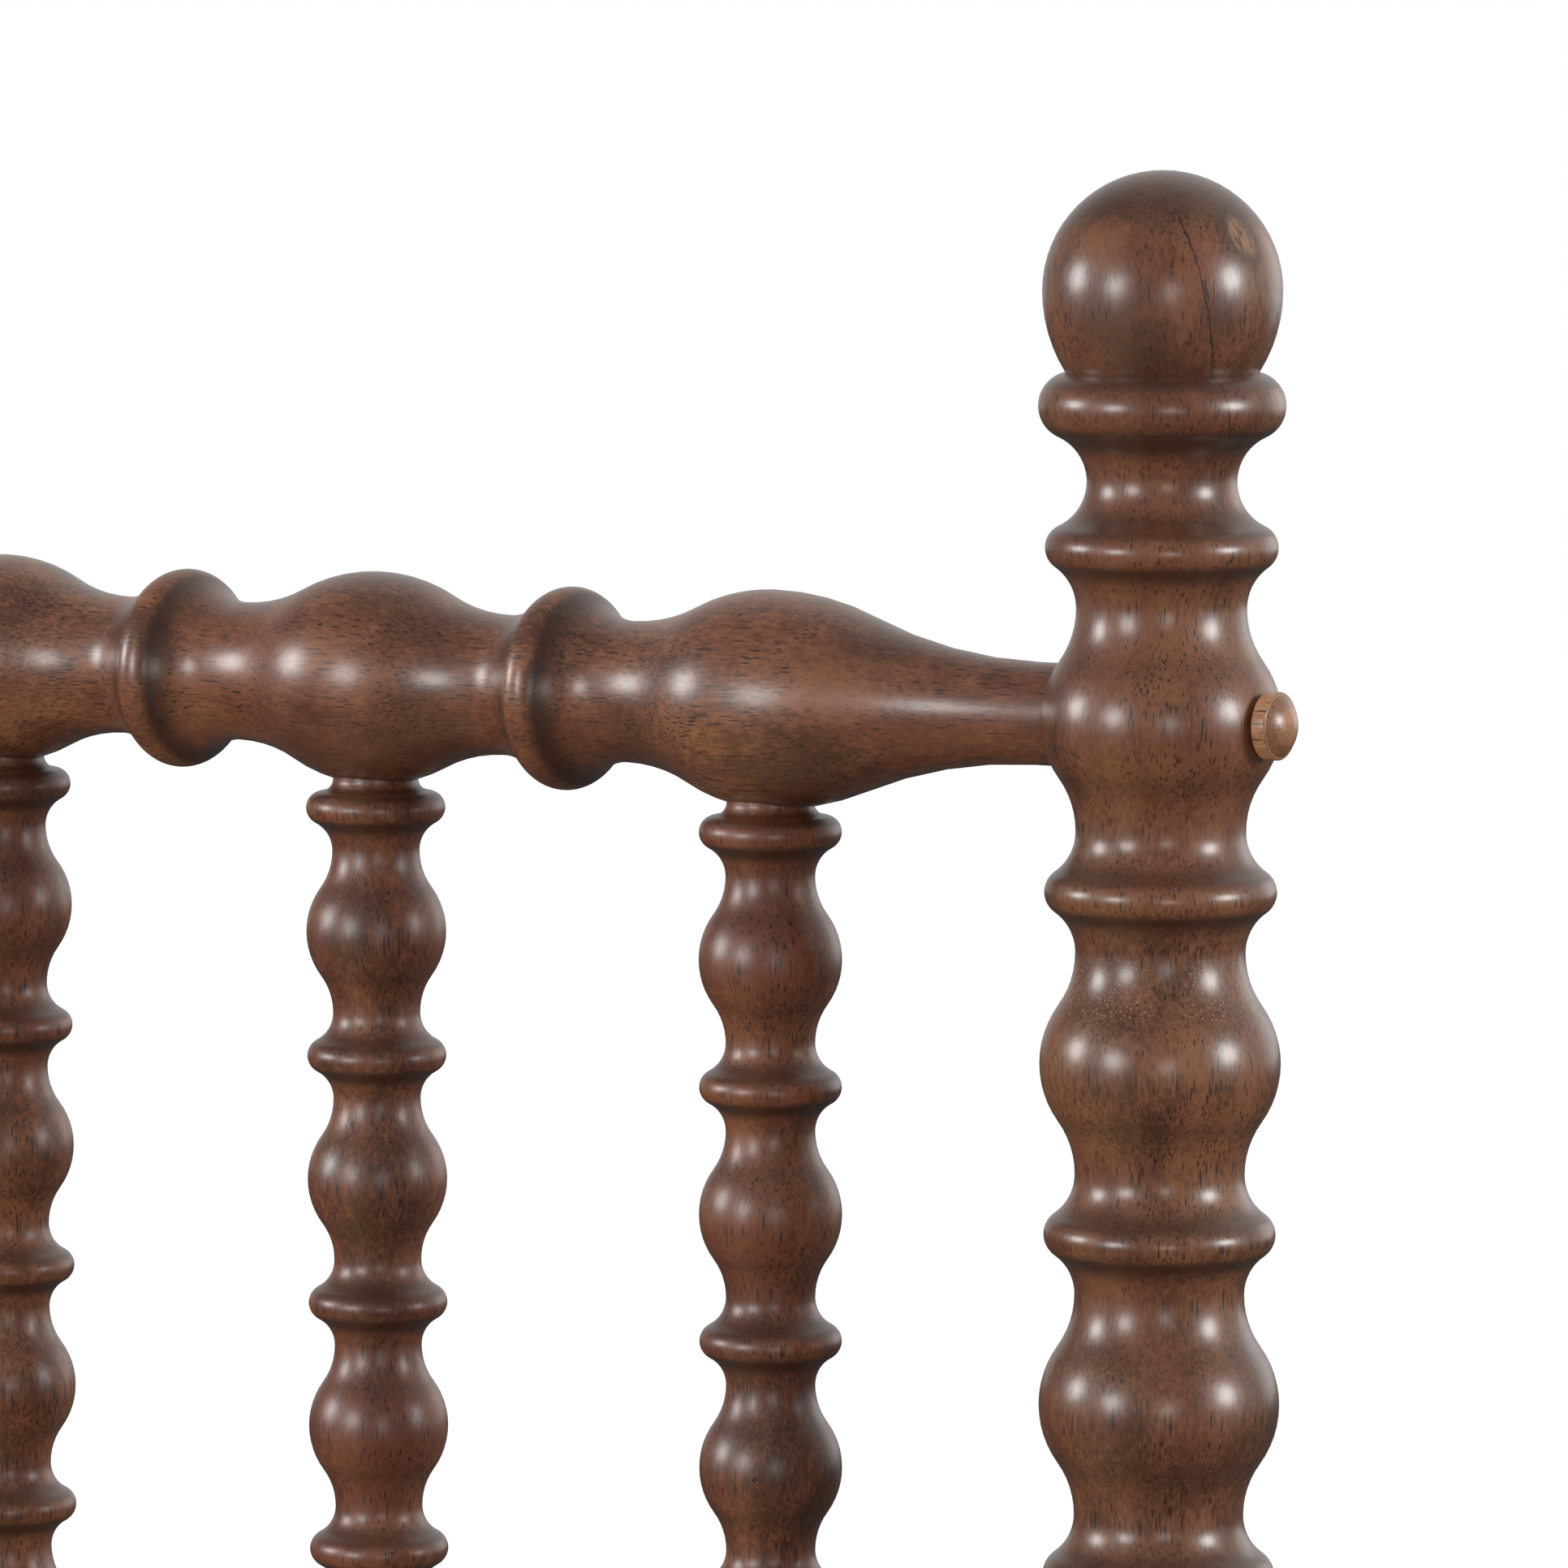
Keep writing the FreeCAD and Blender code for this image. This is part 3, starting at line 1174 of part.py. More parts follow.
def make_screws():
    shank = "screw_diameter / 2"
    head = "screw_head_diameter / 2"
    ledger_screws = new_piece("ledger_screws")
    ledger_screws.AllowCompound = True
    ledger_seat = f"({POST_SPACING} / 2 - side_board_thickness / 2 - ledger_width / 2)"
    screw_y = f"({LEDGER_LENGTH} / 2 - ledger_screw_from_end)"
    height = "(board_underside + ledger_rise + ledger_height / 2)"
    screw = turn(ledger_screws, "screw", [
        (f"({ledger_seat} - screw_head_height)", head),
        (ledger_seat, head),
        (ledger_seat, shank),
        (f"({ledger_seat} + ledger_width / 2 + screw_grip)", shank),
    ], offset=("0", height, screw_y), along="H")
    repeat(ledger_screws, "right_side", screw, "Y", LEDGER_SCREW_PITCH, "ledger_screw_count")
    mirror_whole(ledger_screws, "left_side", "YZ_Plane")

    slat_screws = new_piece("slat_screws")
    slat_screws.AllowCompound = True
    first_y = f"({SIDE_BOARD_LENGTH} / 2 - first_slat_distance)"
    seat = f"({SLAT_UNDERSIDE} + {SLAT_SCREW_SEAT})"
    screw = turn(slat_screws, "screw", [
        (f"({SLAT_UNDERSIDE} - screw_grip)", shank),
        (seat, shank),
        (seat, head),
        (SLAT_TOP, head),
    ], offset=(f"slat_screw_from_end - {SLAT_LENGTH} / 2", "0", first_y))
    repeat(slat_screws, "every_slat", screw, "X", f"({SLAT_LENGTH} - 2 * slat_screw_from_end)",
           "2", ("Y", SLAT_PITCH, "slat_count"))

    bracket_screws = new_piece("bracket_screws")
    bracket_screws.AllowCompound = True
    plate_face = f"({POST_LENGTH_SPACING} / 2 - end_board_thickness / 2 - bracket_thickness)"
    low = f"(board_underside + {BRACKET_SCREW_LOW})"
    screw = turn(bracket_screws, "screw", [
        (f"({plate_face} - screw_head_height)", head),
        (plate_face, head),
        (plate_face, shank),
        (f"({plate_face} + bracket_screw_length)", shank),
    ], plane="YZ_Plane", offset=("0", low, f"-{BRACKET_SCREW_OFFSET}"), along="H")
    repeat(bracket_screws, "head_end", screw, "X", f"(2 * {BRACKET_SCREW_OFFSET})", "2",
           ("Z", "bracket_screw_spread", "2"))
    mirror_whole(bracket_screws, "foot_end", "XZ_Plane")


def make_post_glides():
    body = new_piece("post_glides")
    body.AllowCompound = True
    glide = turn(body, "glide", [
        ("0", "glide_diameter / 2 - glide_rim"),
        ("glide_rim", "glide_diameter / 2"),
        ("glide_thickness", "glide_diameter / 2"),
        ("glide_thickness", "glide_nail_diameter / 2"),
        ("(glide_thickness + glide_nail_length)", "glide_nail_diameter / 2"),
    ], offset=(f"-{POST_SPACING} / 2", "0", f"{POST_LENGTH_SPACING} / 2"))
    repeat(body, "every_post", glide, "X", POST_SPACING, "2",
           ("Y", POST_LENGTH_SPACING, "2"))


# ---------------------------------------------------------------- the bed

make_posts()
make_ends()
for side_name, side_hand in (("right", 1), ("left", -1)):
    make_side_rail(f"side_rail_{side_name}", side_hand)
    make_ledger(f"slat_ledger_{side_name}", side_hand)
make_slats()
make_center_beam()
make_beam_brackets()
make_center_legs()
make_leg_hardware()
make_rail_fasteners()
make_dowels()
make_side_rail_fasteners()
make_screws()
make_post_glides()
document.recompute()

failed = [item for item in document.Objects if {"Invalid", "Error"} & set(item.State)]
if failed:
    raise RuntimeError(", ".join(f"{item.FullName} {item.Label}" for item in failed))
for piece in PIECES:
    if piece.Shape.isNull() or not piece.Shape.isValid():
        raise RuntimeError(f"{piece.Label} has no valid shape")

os.makedirs("parts", exist_ok=True)
for piece in PIECES:
    piece.Shape.exportStep(f"parts/{piece.Label}.step")
print(len(PIECES), "pieces")
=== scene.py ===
import math

import bmesh
import bpy
from mathutils import Matrix, Vector


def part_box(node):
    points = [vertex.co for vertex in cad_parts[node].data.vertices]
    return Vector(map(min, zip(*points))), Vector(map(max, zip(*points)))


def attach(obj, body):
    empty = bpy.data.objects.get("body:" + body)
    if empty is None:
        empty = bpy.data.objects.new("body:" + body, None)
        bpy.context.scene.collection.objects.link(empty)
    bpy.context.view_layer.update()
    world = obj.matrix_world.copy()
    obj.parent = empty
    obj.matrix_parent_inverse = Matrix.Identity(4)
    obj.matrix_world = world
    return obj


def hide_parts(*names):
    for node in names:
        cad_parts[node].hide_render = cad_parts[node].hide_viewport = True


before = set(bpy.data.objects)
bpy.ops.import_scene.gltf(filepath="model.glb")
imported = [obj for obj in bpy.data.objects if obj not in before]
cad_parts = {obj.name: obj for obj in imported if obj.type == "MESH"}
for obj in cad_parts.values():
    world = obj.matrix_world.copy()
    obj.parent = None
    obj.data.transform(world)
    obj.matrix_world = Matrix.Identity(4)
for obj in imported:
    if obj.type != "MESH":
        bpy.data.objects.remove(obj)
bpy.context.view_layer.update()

# A turned spindle bed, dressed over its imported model. Sizes are in millimetres,
# and a finished piece is scaled to metres. +Y points to the headboard.

MM = 0.001

# ---------------------------------------------------------------- sizes

POST_X, POST_Y = 519.5, 992.0
BLOCK_WIDTH = 64.0
BLOCK_EDGE_ROUND = 3.0
BLOCK_SHOULDER_MARGIN = 1.0
BLOCK_UNDERSIDE = 195.0
BLOCK_TOP = 405.0
BOARD_TOP = 370.0

POST_BULB = 32.2
POST_BEAD = 31.0
POST_NECK = 22.7
POST_BEAD_TO_NECK = 16.2
POST_BULB_FULLNESS = 0.52
POST_BEAD_FULLNESS = 0.32
POST_SHOULDER = 30.5
POST_SHOULDER_SEAT = 27.5
POST_SHOULDER_RISE = 5.0
POST_SHOULDER_TO_NECK = 22.0
TURNING_INTO_BLOCK = 1.0

FINIAL_NECK = 20.0
FINIAL_NECK_RISE = 17.5
FINIAL_RING = 32.9
FINIAL_RING_RISE = 37.6
FINIAL_RING_FULLNESS = 0.41
FINIAL_CREASE = 25.75
FINIAL_CREASE_RISE = 46.5
BALL = 31.9
BALL_CENTRE_RISE = 68.0

FOOT_BULB_TO_NECK = 29.3
FOOT_BULB = 31.0
FOOT_BEAD = 28.5
FOOT_NECK = 21.0
TOE_BULB = 29.0
TOE = 19.0
TOE_EDGE = 1.2
GLIDE_THICKNESS = 5.0

RAIL_BULB = 30.0
RAIL_RING = 28.25
RAIL_NECK = 19.5
RAIL_RING_TO_NECK = 20.4
RAIL_BULB_FULLNESS = 0.45
RAIL_RING_FULLNESS = 0.27
RAIL_TAPER_FULLNESS = 0.345
RAIL_TAPER_LENGTH = 85.0
RAIL_END = 13.85
RAIL_END_INSIDE_POST = 13.2
POST_TO_SPINDLE = 123.5

SPINDLE_COUNT = 7
SPINDLE_BULB = 19.7
SPINDLE_BEAD = 19.6
SPINDLE_NECK = 12.3
SPINDLE_PERIOD = 70.3
SPINDLE_BEAD_TO_NECK = 12.2
SPINDLE_BULB_FULLNESS = 0.54
SPINDLE_BEAD_FULLNESS = 0.35
SPINDLE_END_FULLNESS = 0.55
SPINDLE_END_RISE = 6.4
SPINDLE_SHOULDER = 12.0
SPINDLE_FLARE_IN_RAIL = 1.8
SPINDLE_TOP_TENON = 17.0
SPINDLE_BOTTOM_TENON = 20.0
SPINDLE_BOTTOM_TENON_RADIUS = 7.0

CAP = 9.1
CAP_EDGE = 4.4
CAP_EDGE_ROUND = 0.8
CAP_DOME = 3.5
CAP_STEM = 6.0
CAP_STEM_LENGTH = 10.0

SIDE_BOLT_HEIGHTS = (262.0, 328.0)
SIDE_BOLT_SEAT = 6.8
SIDE_BOLT_SEAT_DEPTH = 12.0
DRILL_OVERSHOOT = 5.0

HEAD = {"end": "headboard", "toward": 1, "post_bulbs": 7, "spindle_bulbs": 9}
FOOT = {"end": "footboard", "toward": -1, "post_bulbs": 4, "spindle_bulbs": 5}
FIRST_NECK = BLOCK_TOP + POST_SHOULDER_RISE + POST_SHOULDER_TO_NECK
SPINDLE_PITCH = 2 * (POST_X - POST_TO_SPINDLE) / (SPINDLE_COUNT - 1)
SPINDLE_TURN = math.radians(37.0)

# How many sides a round piece has, and how finely and sharply its outline bends.
ROUND_POST = 96
ROUND_RAIL = 96
ROUND_SPINDLE = 60
ROUND_CAP = 48
ROUND_DRILL = 40
ROUND_EDGE = 5
ARC_STEP = math.radians(6.0)
SHARP_EDGE = math.radians(35.0)
LATHE_WELD = 0.001
CARVED_WELD = 0.01


def rail_axis_height(end):
    """The height of a top rail's axis above the floor."""
    bulbs = end["spindle_bulbs"]
    return BOARD_TOP + 2 * SPINDLE_END_RISE + bulbs * SPINDLE_PERIOD + RAIL_BULB


def post_period(end):
    """From bulb to bulb of a post. The top bulb's middle is level with the rail's axis."""
    length = rail_axis_height(end) - POST_BEAD_TO_NECK - FIRST_NECK
    return length / (end["post_bulbs"] - 0.5)


def top_bead_height(end):
    """The height of the bead under a post's finial."""
    return rail_axis_height(end) + post_period(end) / 2


# ---------------------------------------------------------------- lathe


def bend_radius(drop, reach):
    """The radius of an arc that is level at one end, by how far it drops and reaches."""
    return (drop**2 + reach**2) / (2 * drop)


class Outline:
    """Half the outline of a turned piece, drawn upwards beside the Z axis."""

    def __init__(self, radius, height):
        self.mesh = bmesh.new()
        self.tip = self.mesh.verts.new((radius, 0, height))

    def line(self, radius, height):
        grown = bmesh.ops.extrude_vert_indiv(self.mesh, verts=[self.tip])
        self.tip = grown["verts"][0]
        self.tip.co = (radius, 0, height)

    def arc(self, centre, radius, height):
        """Swing the tip about a centre (radius, height) to a new radius and height."""
        start = math.atan2(self.tip.co.z - centre[1], self.tip.co.x - centre[0])
        stop = math.atan2(height - centre[1], radius - centre[0])
        swing = (stop - start + math.pi) % (2 * math.pi) - math.pi
        steps = max(2, math.ceil(abs(swing) / ARC_STEP))
        swept = bmesh.ops.spin(
            self.mesh, geom=[self.tip], cent=(centre[0], 0, centre[1]), axis=(0, -1, 0),
            angle=swing, steps=steps, use_merge=False, use_duplicate=False,
        )
        ends = [one for one in swept["geom_last"] if isinstance(one, bmesh.types.BMVert)]
        self.tip = ends[0]
        self.tip.co = (radius, 0, height)

    def curve(self, radius, height, fullness):
        """An S-curve of two arcs. The fuller end has this share of their radii."""
        here = (self.tip.co.x, self.tip.co.z)
        there = (radius, height)
        rising = radius > here[0]
        crest, neck = (there, here) if rising else (here, there)
        both = bend_radius(crest[0] - neck[0], crest[1] - neck[1])
        crest_centre = (crest[0] - fullness * both, crest[1])
        neck_centre = (neck[0] + (1 - fullness) * both, neck[1])
        joint = [c + fullness * (n - c) for c, n in zip(crest_centre, neck_centre)]
        self.arc(neck_centre if rising else crest_centre, *joint)
        self.arc(crest_centre if rising else neck_centre, *there)

    def round(self, radius, height):
        """One arc that is level at its fuller end."""
        here = (self.tip.co.x, self.tip.co.z)
        there = (radius, height)
        crest, other = (there, here) if radius > here[0] else (here, there)
        bend = bend_radius(crest[0] - other[0], crest[1] - other[1])
        self.arc((crest[0] - bend, crest[1]), *there)

    def dome(self, height):
        """One arc to the Z axis, which it crosses square."""
        bend = bend_radius(height - self.tip.co.z, self.tip.co.x)
        self.arc((0, height - bend), 0, height)

    def on_lathe(self, steps):
        """Turn the outline into a closed solid of revolution about the Z axis."""
        mesh = self.mesh
        bmesh.ops.spin(
            mesh, geom=mesh.verts[:] + mesh.edges[:], cent=(0, 0, 0), axis=(0, 0, 1),
            angle=2 * math.pi, steps=steps, use_merge=True, use_duplicate=False,
        )
        bmesh.ops.remove_doubles(mesh, verts=mesh.verts[:], dist=LATHE_WELD)
        bmesh.ops.recalc_face_normals(mesh, faces=mesh.faces[:])
        return mesh


# ---------------------------------------------------------------- turned pieces


def turned_foot():
    """Bulb, bead and toe below a post's block, down to the glide."""
    upper_neck = BLOCK_UNDERSIDE - POST_SHOULDER_RISE - POST_SHOULDER_TO_NECK
    bulb = upper_neck - FOOT_BULB_TO_NECK
    middle_neck = bulb - FOOT_BULB_TO_NECK
    bead = middle_neck - POST_BEAD_TO_NECK
    lower_neck = bead - POST_BEAD_TO_NECK
    inside_block = BLOCK_UNDERSIDE + TURNING_INTO_BLOCK
    outline = Outline(0, GLIDE_THICKNESS)
    outline.line(TOE - TOE_EDGE, GLIDE_THICKNESS)
    outline.line(TOE, GLIDE_THICKNESS + TOE_EDGE)
    outline.round(TOE_BULB, lower_neck - FOOT_BULB_TO_NECK)
    outline.curve(FOOT_NECK, lower_neck, POST_BULB_FULLNESS)
    outline.curve(FOOT_BEAD, bead, POST_BEAD_FULLNESS)
    outline.curve(FOOT_NECK, middle_neck, POST_BEAD_FULLNESS)
    outline.curve(FOOT_BULB, bulb, POST_BULB_FULLNESS)
    outline.curve(POST_NECK, upper_neck, POST_BULB_FULLNESS)
    outline.curve(POST_SHOULDER, BLOCK_UNDERSIDE - POST_SHOULDER_RISE, POST_BEAD_FULLNESS)
    outline.round(POST_SHOULDER_SEAT, BLOCK_UNDERSIDE)
    outline.line(POST_SHOULDER_SEAT, inside_block)
    outline.line(0, inside_block)
    return outline.on_lathe(ROUND_POST)


def turned_shaft(end):
    """Beads and bulbs above a post's block, and the ball on top."""
    period = post_period(end)
    inside_block = BLOCK_TOP - TURNING_INTO_BLOCK
    outline = Outline(0, inside_block)
    outline.line(POST_SHOULDER_SEAT, inside_block)
    outline.line(POST_SHOULDER_SEAT, BLOCK_TOP)
    outline.round(POST_SHOULDER, BLOCK_TOP + POST_SHOULDER_RISE)
    outline.curve(POST_NECK, FIRST_NECK, POST_BEAD_FULLNESS)
    for number in range(end["post_bulbs"]):
        bead = FIRST_NECK + POST_BEAD_TO_NECK + number * period
        outline.curve(POST_BEAD, bead, POST_BEAD_FULLNESS)
        outline.curve(POST_NECK, bead + POST_BEAD_TO_NECK, POST_BEAD_FULLNESS)
        outline.curve(POST_BULB, bead + period / 2, POST_BULB_FULLNESS)
        outline.curve(POST_NECK, bead + period - POST_BEAD_TO_NECK, POST_BULB_FULLNESS)
    top_bead = top_bead_height(end)
    outline.curve(POST_BEAD, top_bead, POST_BEAD_FULLNESS)
    outline.curve(FINIAL_NECK, top_bead + FINIAL_NECK_RISE, POST_BEAD_FULLNESS)
    outline.curve(FINIAL_RING, top_bead + FINIAL_RING_RISE, FINIAL_RING_FULLNESS)
    outline.round(FINIAL_CREASE, top_bead + FINIAL_CREASE_RISE)
    ball_centre = top_bead + BALL_CENTRE_RISE
    outline.round(BALL, ball_centre)
    outline.round(0, ball_centre + BALL)
    return outline.on_lathe(ROUND_POST)


def turned_rail():
    """A top rail, upright: a tapered end, bulbs over the spindles, rings between."""
    length = 2 * (POST_X - RAIL_END_INSIDE_POST)
    first_bulb = POST_TO_SPINDLE - RAIL_END_INSIDE_POST
    outline = Outline(0, 0)
    outline.line(RAIL_END, 0)
    outline.line(RAIL_END, first_bulb - RAIL_TAPER_LENGTH)
    outline.curve(RAIL_BULB, first_bulb, RAIL_TAPER_FULLNESS)
    for number in range(SPINDLE_COUNT - 1):
        ring = first_bulb + (number + 0.5) * SPINDLE_PITCH
        outline.curve(RAIL_NECK, ring - RAIL_RING_TO_NECK, RAIL_BULB_FULLNESS)
        outline.curve(RAIL_RING, ring, RAIL_RING_FULLNESS)
        outline.curve(RAIL_NECK, ring + RAIL_RING_TO_NECK, RAIL_RING_FULLNESS)
        outline.curve(RAIL_BULB, ring + SPINDLE_PITCH / 2, RAIL_BULB_FULLNESS)
    outline.curve(RAIL_END, length - first_bulb + RAIL_TAPER_LENGTH, RAIL_TAPER_FULLNESS)
    outline.line(RAIL_END, length)
    outline.line(0, length)
    return outline.on_lathe(ROUND_RAIL)


def turned_spindle(end):
    """A spindle with its tenons, its lower bead standing on the lower rail."""
    first_bead = BOARD_TOP + SPINDLE_END_RISE
    last_bead = first_bead + end["spindle_bulbs"] * SPINDLE_PERIOD
    shoulder = last_bead + SPINDLE_END_RISE
    outline = Outline(0, BOARD_TOP - SPINDLE_BOTTOM_TENON)
    outline.line(SPINDLE_BOTTOM_TENON_RADIUS, BOARD_TOP - SPINDLE_BOTTOM_TENON)
    outline.line(SPINDLE_BOTTOM_TENON_RADIUS, BOARD_TOP)
    outline.line(SPINDLE_SHOULDER, BOARD_TOP)
    outline.curve(SPINDLE_BEAD, first_bead, SPINDLE_END_FULLNESS)
    for number in range(end["spindle_bulbs"]):
        bead = first_bead + number * SPINDLE_PERIOD
        next_bead = bead + SPINDLE_PERIOD
        outline.curve(SPINDLE_NECK, bead + SPINDLE_BEAD_TO_NECK, SPINDLE_BEAD_FULLNESS)
        outline.curve(SPINDLE_BULB, bead + SPINDLE_PERIOD / 2, SPINDLE_BULB_FULLNESS)
        outline.curve(SPINDLE_NECK, next_bead - SPINDLE_BEAD_TO_NECK, SPINDLE_BULB_FULLNESS)
        outline.curve(SPINDLE_BEAD, next_bead, SPINDLE_BEAD_FULLNESS)
    outline.curve(SPINDLE_SHOULDER, shoulder + SPINDLE_FLARE_IN_RAIL, SPINDLE_END_FULLNESS)
    outline.line(SPINDLE_SHOULDER, shoulder + SPINDLE_TOP_TENON)
    outline.line(0, shoulder + SPINDLE_TOP_TENON)
    return outline.on_lathe(ROUND_SPINDLE)


def turned_cap():
    """A cap plug, upright: its stem, a short straight edge and a low dome."""
    face = CAP - CAP_EDGE_ROUND
    outline = Outline(0, -CAP_STEM_LENGTH)
    outline.line(CAP_STEM, -CAP_STEM_LENGTH)
    outline.line(CAP_STEM, 0)
    outline.line(face, 0)
    outline.arc((face, CAP_EDGE_ROUND), CAP, CAP_EDGE_ROUND)
    outline.line(CAP, CAP_EDGE - CAP_EDGE_ROUND)
    outline.arc((face, CAP_EDGE - CAP_EDGE_ROUND), face, CAP_EDGE)
    outline.dome(CAP_EDGE + CAP_DOME)
    return outline.on_lathe(ROUND_CAP)


def lathed_block():
    """What the lathe leaves of the square: round shoulders at both ends."""
    inside = BLOCK_WIDTH / 2
    corner = inside * (math.sqrt(2) - 1) + BLOCK_SHOULDER_MARGIN
    lower, upper = BLOCK_UNDERSIDE + corner, BLOCK_TOP - corner
    outline = Outline(0, BLOCK_UNDERSIDE)
    outline.line(inside, BLOCK_UNDERSIDE)
    outline.arc((inside, lower), inside + corner, lower)
    outline.line(inside + corner, upper)
    outline.arc((inside, upper), inside, BLOCK_TOP)
    outline.line(0, BLOCK_TOP)
    return outline.on_lathe(ROUND_POST)


# ---------------------------------------------------------------- making


def linked(mesh, name):
    """A new object of the scene, made of a mesh that is used up by it."""
    data = bpy.data.meshes.new(name)
    mesh.to_mesh(data)
    mesh.free()
    thing = bpy.data.objects.new(name, data)
    bpy.context.scene.collection.objects.link(thing)
    return thing


def object_from(mesh, name, matrix=Matrix.Identity(4)):
    """A shown object with the mesh's place in its vertices, in metres."""
    bmesh.ops.transform(mesh, matrix=Matrix.Scale(MM, 4) @ matrix, verts=mesh.verts[:])
    for face in mesh.faces:
        face.smooth = True
    for edge in mesh.edges:
        if len(edge.link_faces) == 2 and edge.calc_face_angle() > SHARP_EDGE:
            edge.smooth = False
    return linked(mesh, name)


def hand_over(piece, finish, slot, *nodes):
    """Give a piece its finish, and let it stand for CAD nodes of the bed's frame."""
    piece.data.materials.clear()
    piece.data.materials.append(finish)
    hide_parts(*nodes)
    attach(piece, "bed_frame")


def merged(*meshes):
    """Several meshes as one."""
    whole = bmesh.new()
    for mesh in meshes:
        data = bpy.data.meshes.new("part")
        mesh.to_mesh(data)
        mesh.free()
        whole.from_mesh(data)
        bpy.data.meshes.remove(data)
    return whole


def carved(target, *steps):
    """Cut or keep a mesh by others: each step is ("INTERSECT" or "DIFFERENCE", mesh)."""
    stock = linked(target, "stock")
    tools = []
    for number, (operation, mesh) in enumerate(steps):
        tool = linked(mesh, f"tool_{number}")
        tools.append(tool)
        cut = stock.modifiers.new(tool.name, "BOOLEAN")
        cut.operation = operation
        cut.solver = "EXACT"
        cut.object = tool
    seen = stock.evaluated_get(bpy.context.evaluated_depsgraph_get())
    result = bmesh.new()
    result.from_mesh(seen.to_mesh())
    seen.to_mesh_clear()
    for thing in [stock, *tools]:
        data = thing.data
        bpy.data.objects.remove(thing)
        bpy.data.meshes.remove(data)
    return result


def square_block():
    """The square length of a post, its four long edges eased."""
    mesh = bmesh.new()
    bmesh.ops.create_cube(mesh, size=1)
    size = (BLOCK_WIDTH, BLOCK_WIDTH, BLOCK_TOP - BLOCK_UNDERSIDE)
    middle = (0, 0, (BLOCK_UNDERSIDE + BLOCK_TOP) / 2)
    bmesh.ops.scale(mesh, vec=size, verts=mesh.verts[:])
    bmesh.ops.translate(mesh, vec=middle, verts=mesh.verts[:])
    upright = [e for e in mesh.edges if abs(e.verts[0].co.z - e.verts[1].co.z) > 1]
    bmesh.ops.bevel(
        mesh, geom=upright, offset=BLOCK_EDGE_ROUND, offset_type="OFFSET",
        segments=ROUND_EDGE, profile=0.5, affect="EDGES", material=-1,
    )
    return mesh


def drill_mesh(start, stop, radius):
    """A drill's solid, from one point to another."""
    mesh = bmesh.new()
    path = Vector(stop) - Vector(start)
    bmesh.ops.create_cone(
        mesh, cap_ends=True, cap_tris=False, segments=ROUND_DRILL, radius1=radius,
        radius2=radius, depth=path.length,
    )
    turn = path.to_track_quat("Z", "Y").to_matrix().to_4x4()
    middle = (Vector(start) + Vector(stop)) / 2
    bmesh.ops.transform(mesh, matrix=Matrix.Translation(middle) @ turn, verts=mesh.verts[:])
    return mesh


def block_with_seats(bolt_side):
    """A post's block with the counterbores of the two side rail bolts."""
    face = BLOCK_WIDTH / 2
    floor, outside = face - SIDE_BOLT_SEAT_DEPTH, face + DRILL_OVERSHOOT
    seats = [
        drill_mesh((0, bolt_side * floor, height), (0, bolt_side * outside, height),
                   SIDE_BOLT_SEAT)
        for height in SIDE_BOLT_HEIGHTS
    ]
    mesh = carved(
        square_block(), ("INTERSECT", lathed_block()), ("DIFFERENCE", merged(*seats))
    )
    bmesh.ops.remove_doubles(mesh, verts=mesh.verts[:], dist=CARVED_WELD)
    bmesh.ops.recalc_face_normals(mesh, faces=mesh.faces[:])
    return mesh


# ---------------------------------------------------------------- shader maths

TO_MM = (1000, 1000, 1000)
WHITE = (1, 1, 1, 1)


def tone(red, green, blue):
    """A colour as it looks on a screen, 0 to 255, as the light that it stands for."""
    def light(level):
        share = level / 255
        return share / 12.92 if share <= 0.04045 else ((share + 0.055) / 1.055) ** 2.4

    return (light(red), light(green), light(blue), 1.0)


class Value:
    """A socket that can stand in sums."""

    def __init__(self, finish, socket):
        self.finish = finish
        self.socket = socket

    def sum(self, operation, *others):
        sockets = dict(enumerate([self, *others]))
        return self.finish.node("ShaderNodeMath", sockets, operation=operation)

    def __add__(self, other):
        return self.sum("ADD", other)

    __radd__ = __add__

    def __sub__(self, other):
        return self.sum("SUBTRACT", other)

    def __rsub__(self, other):
        return self.finish.node("ShaderNodeMath", {0: other, 1: self}, operation="SUBTRACT")

    def __mul__(self, other):
        return self.sum("MULTIPLY", other)

    __rmul__ = __mul__

    def __truediv__(self, other):
        return self.sum("DIVIDE", other)

    def __pow__(self, other):
        return self.sum("POWER", other)

    def rise(self, low, high, to_low=0.0, to_high=1.0):
        """Smoothly from to_low at low to to_high at high, and level beyond."""
        sockets = {"Value": self, "From Min": low, "From Max": high,
                   "To Min": to_low, "To Max": to_high}
        return self.finish.node(
            "ShaderNodeMapRange", sockets, interpolation_type="SMOOTHSTEP", clamp=True
        )


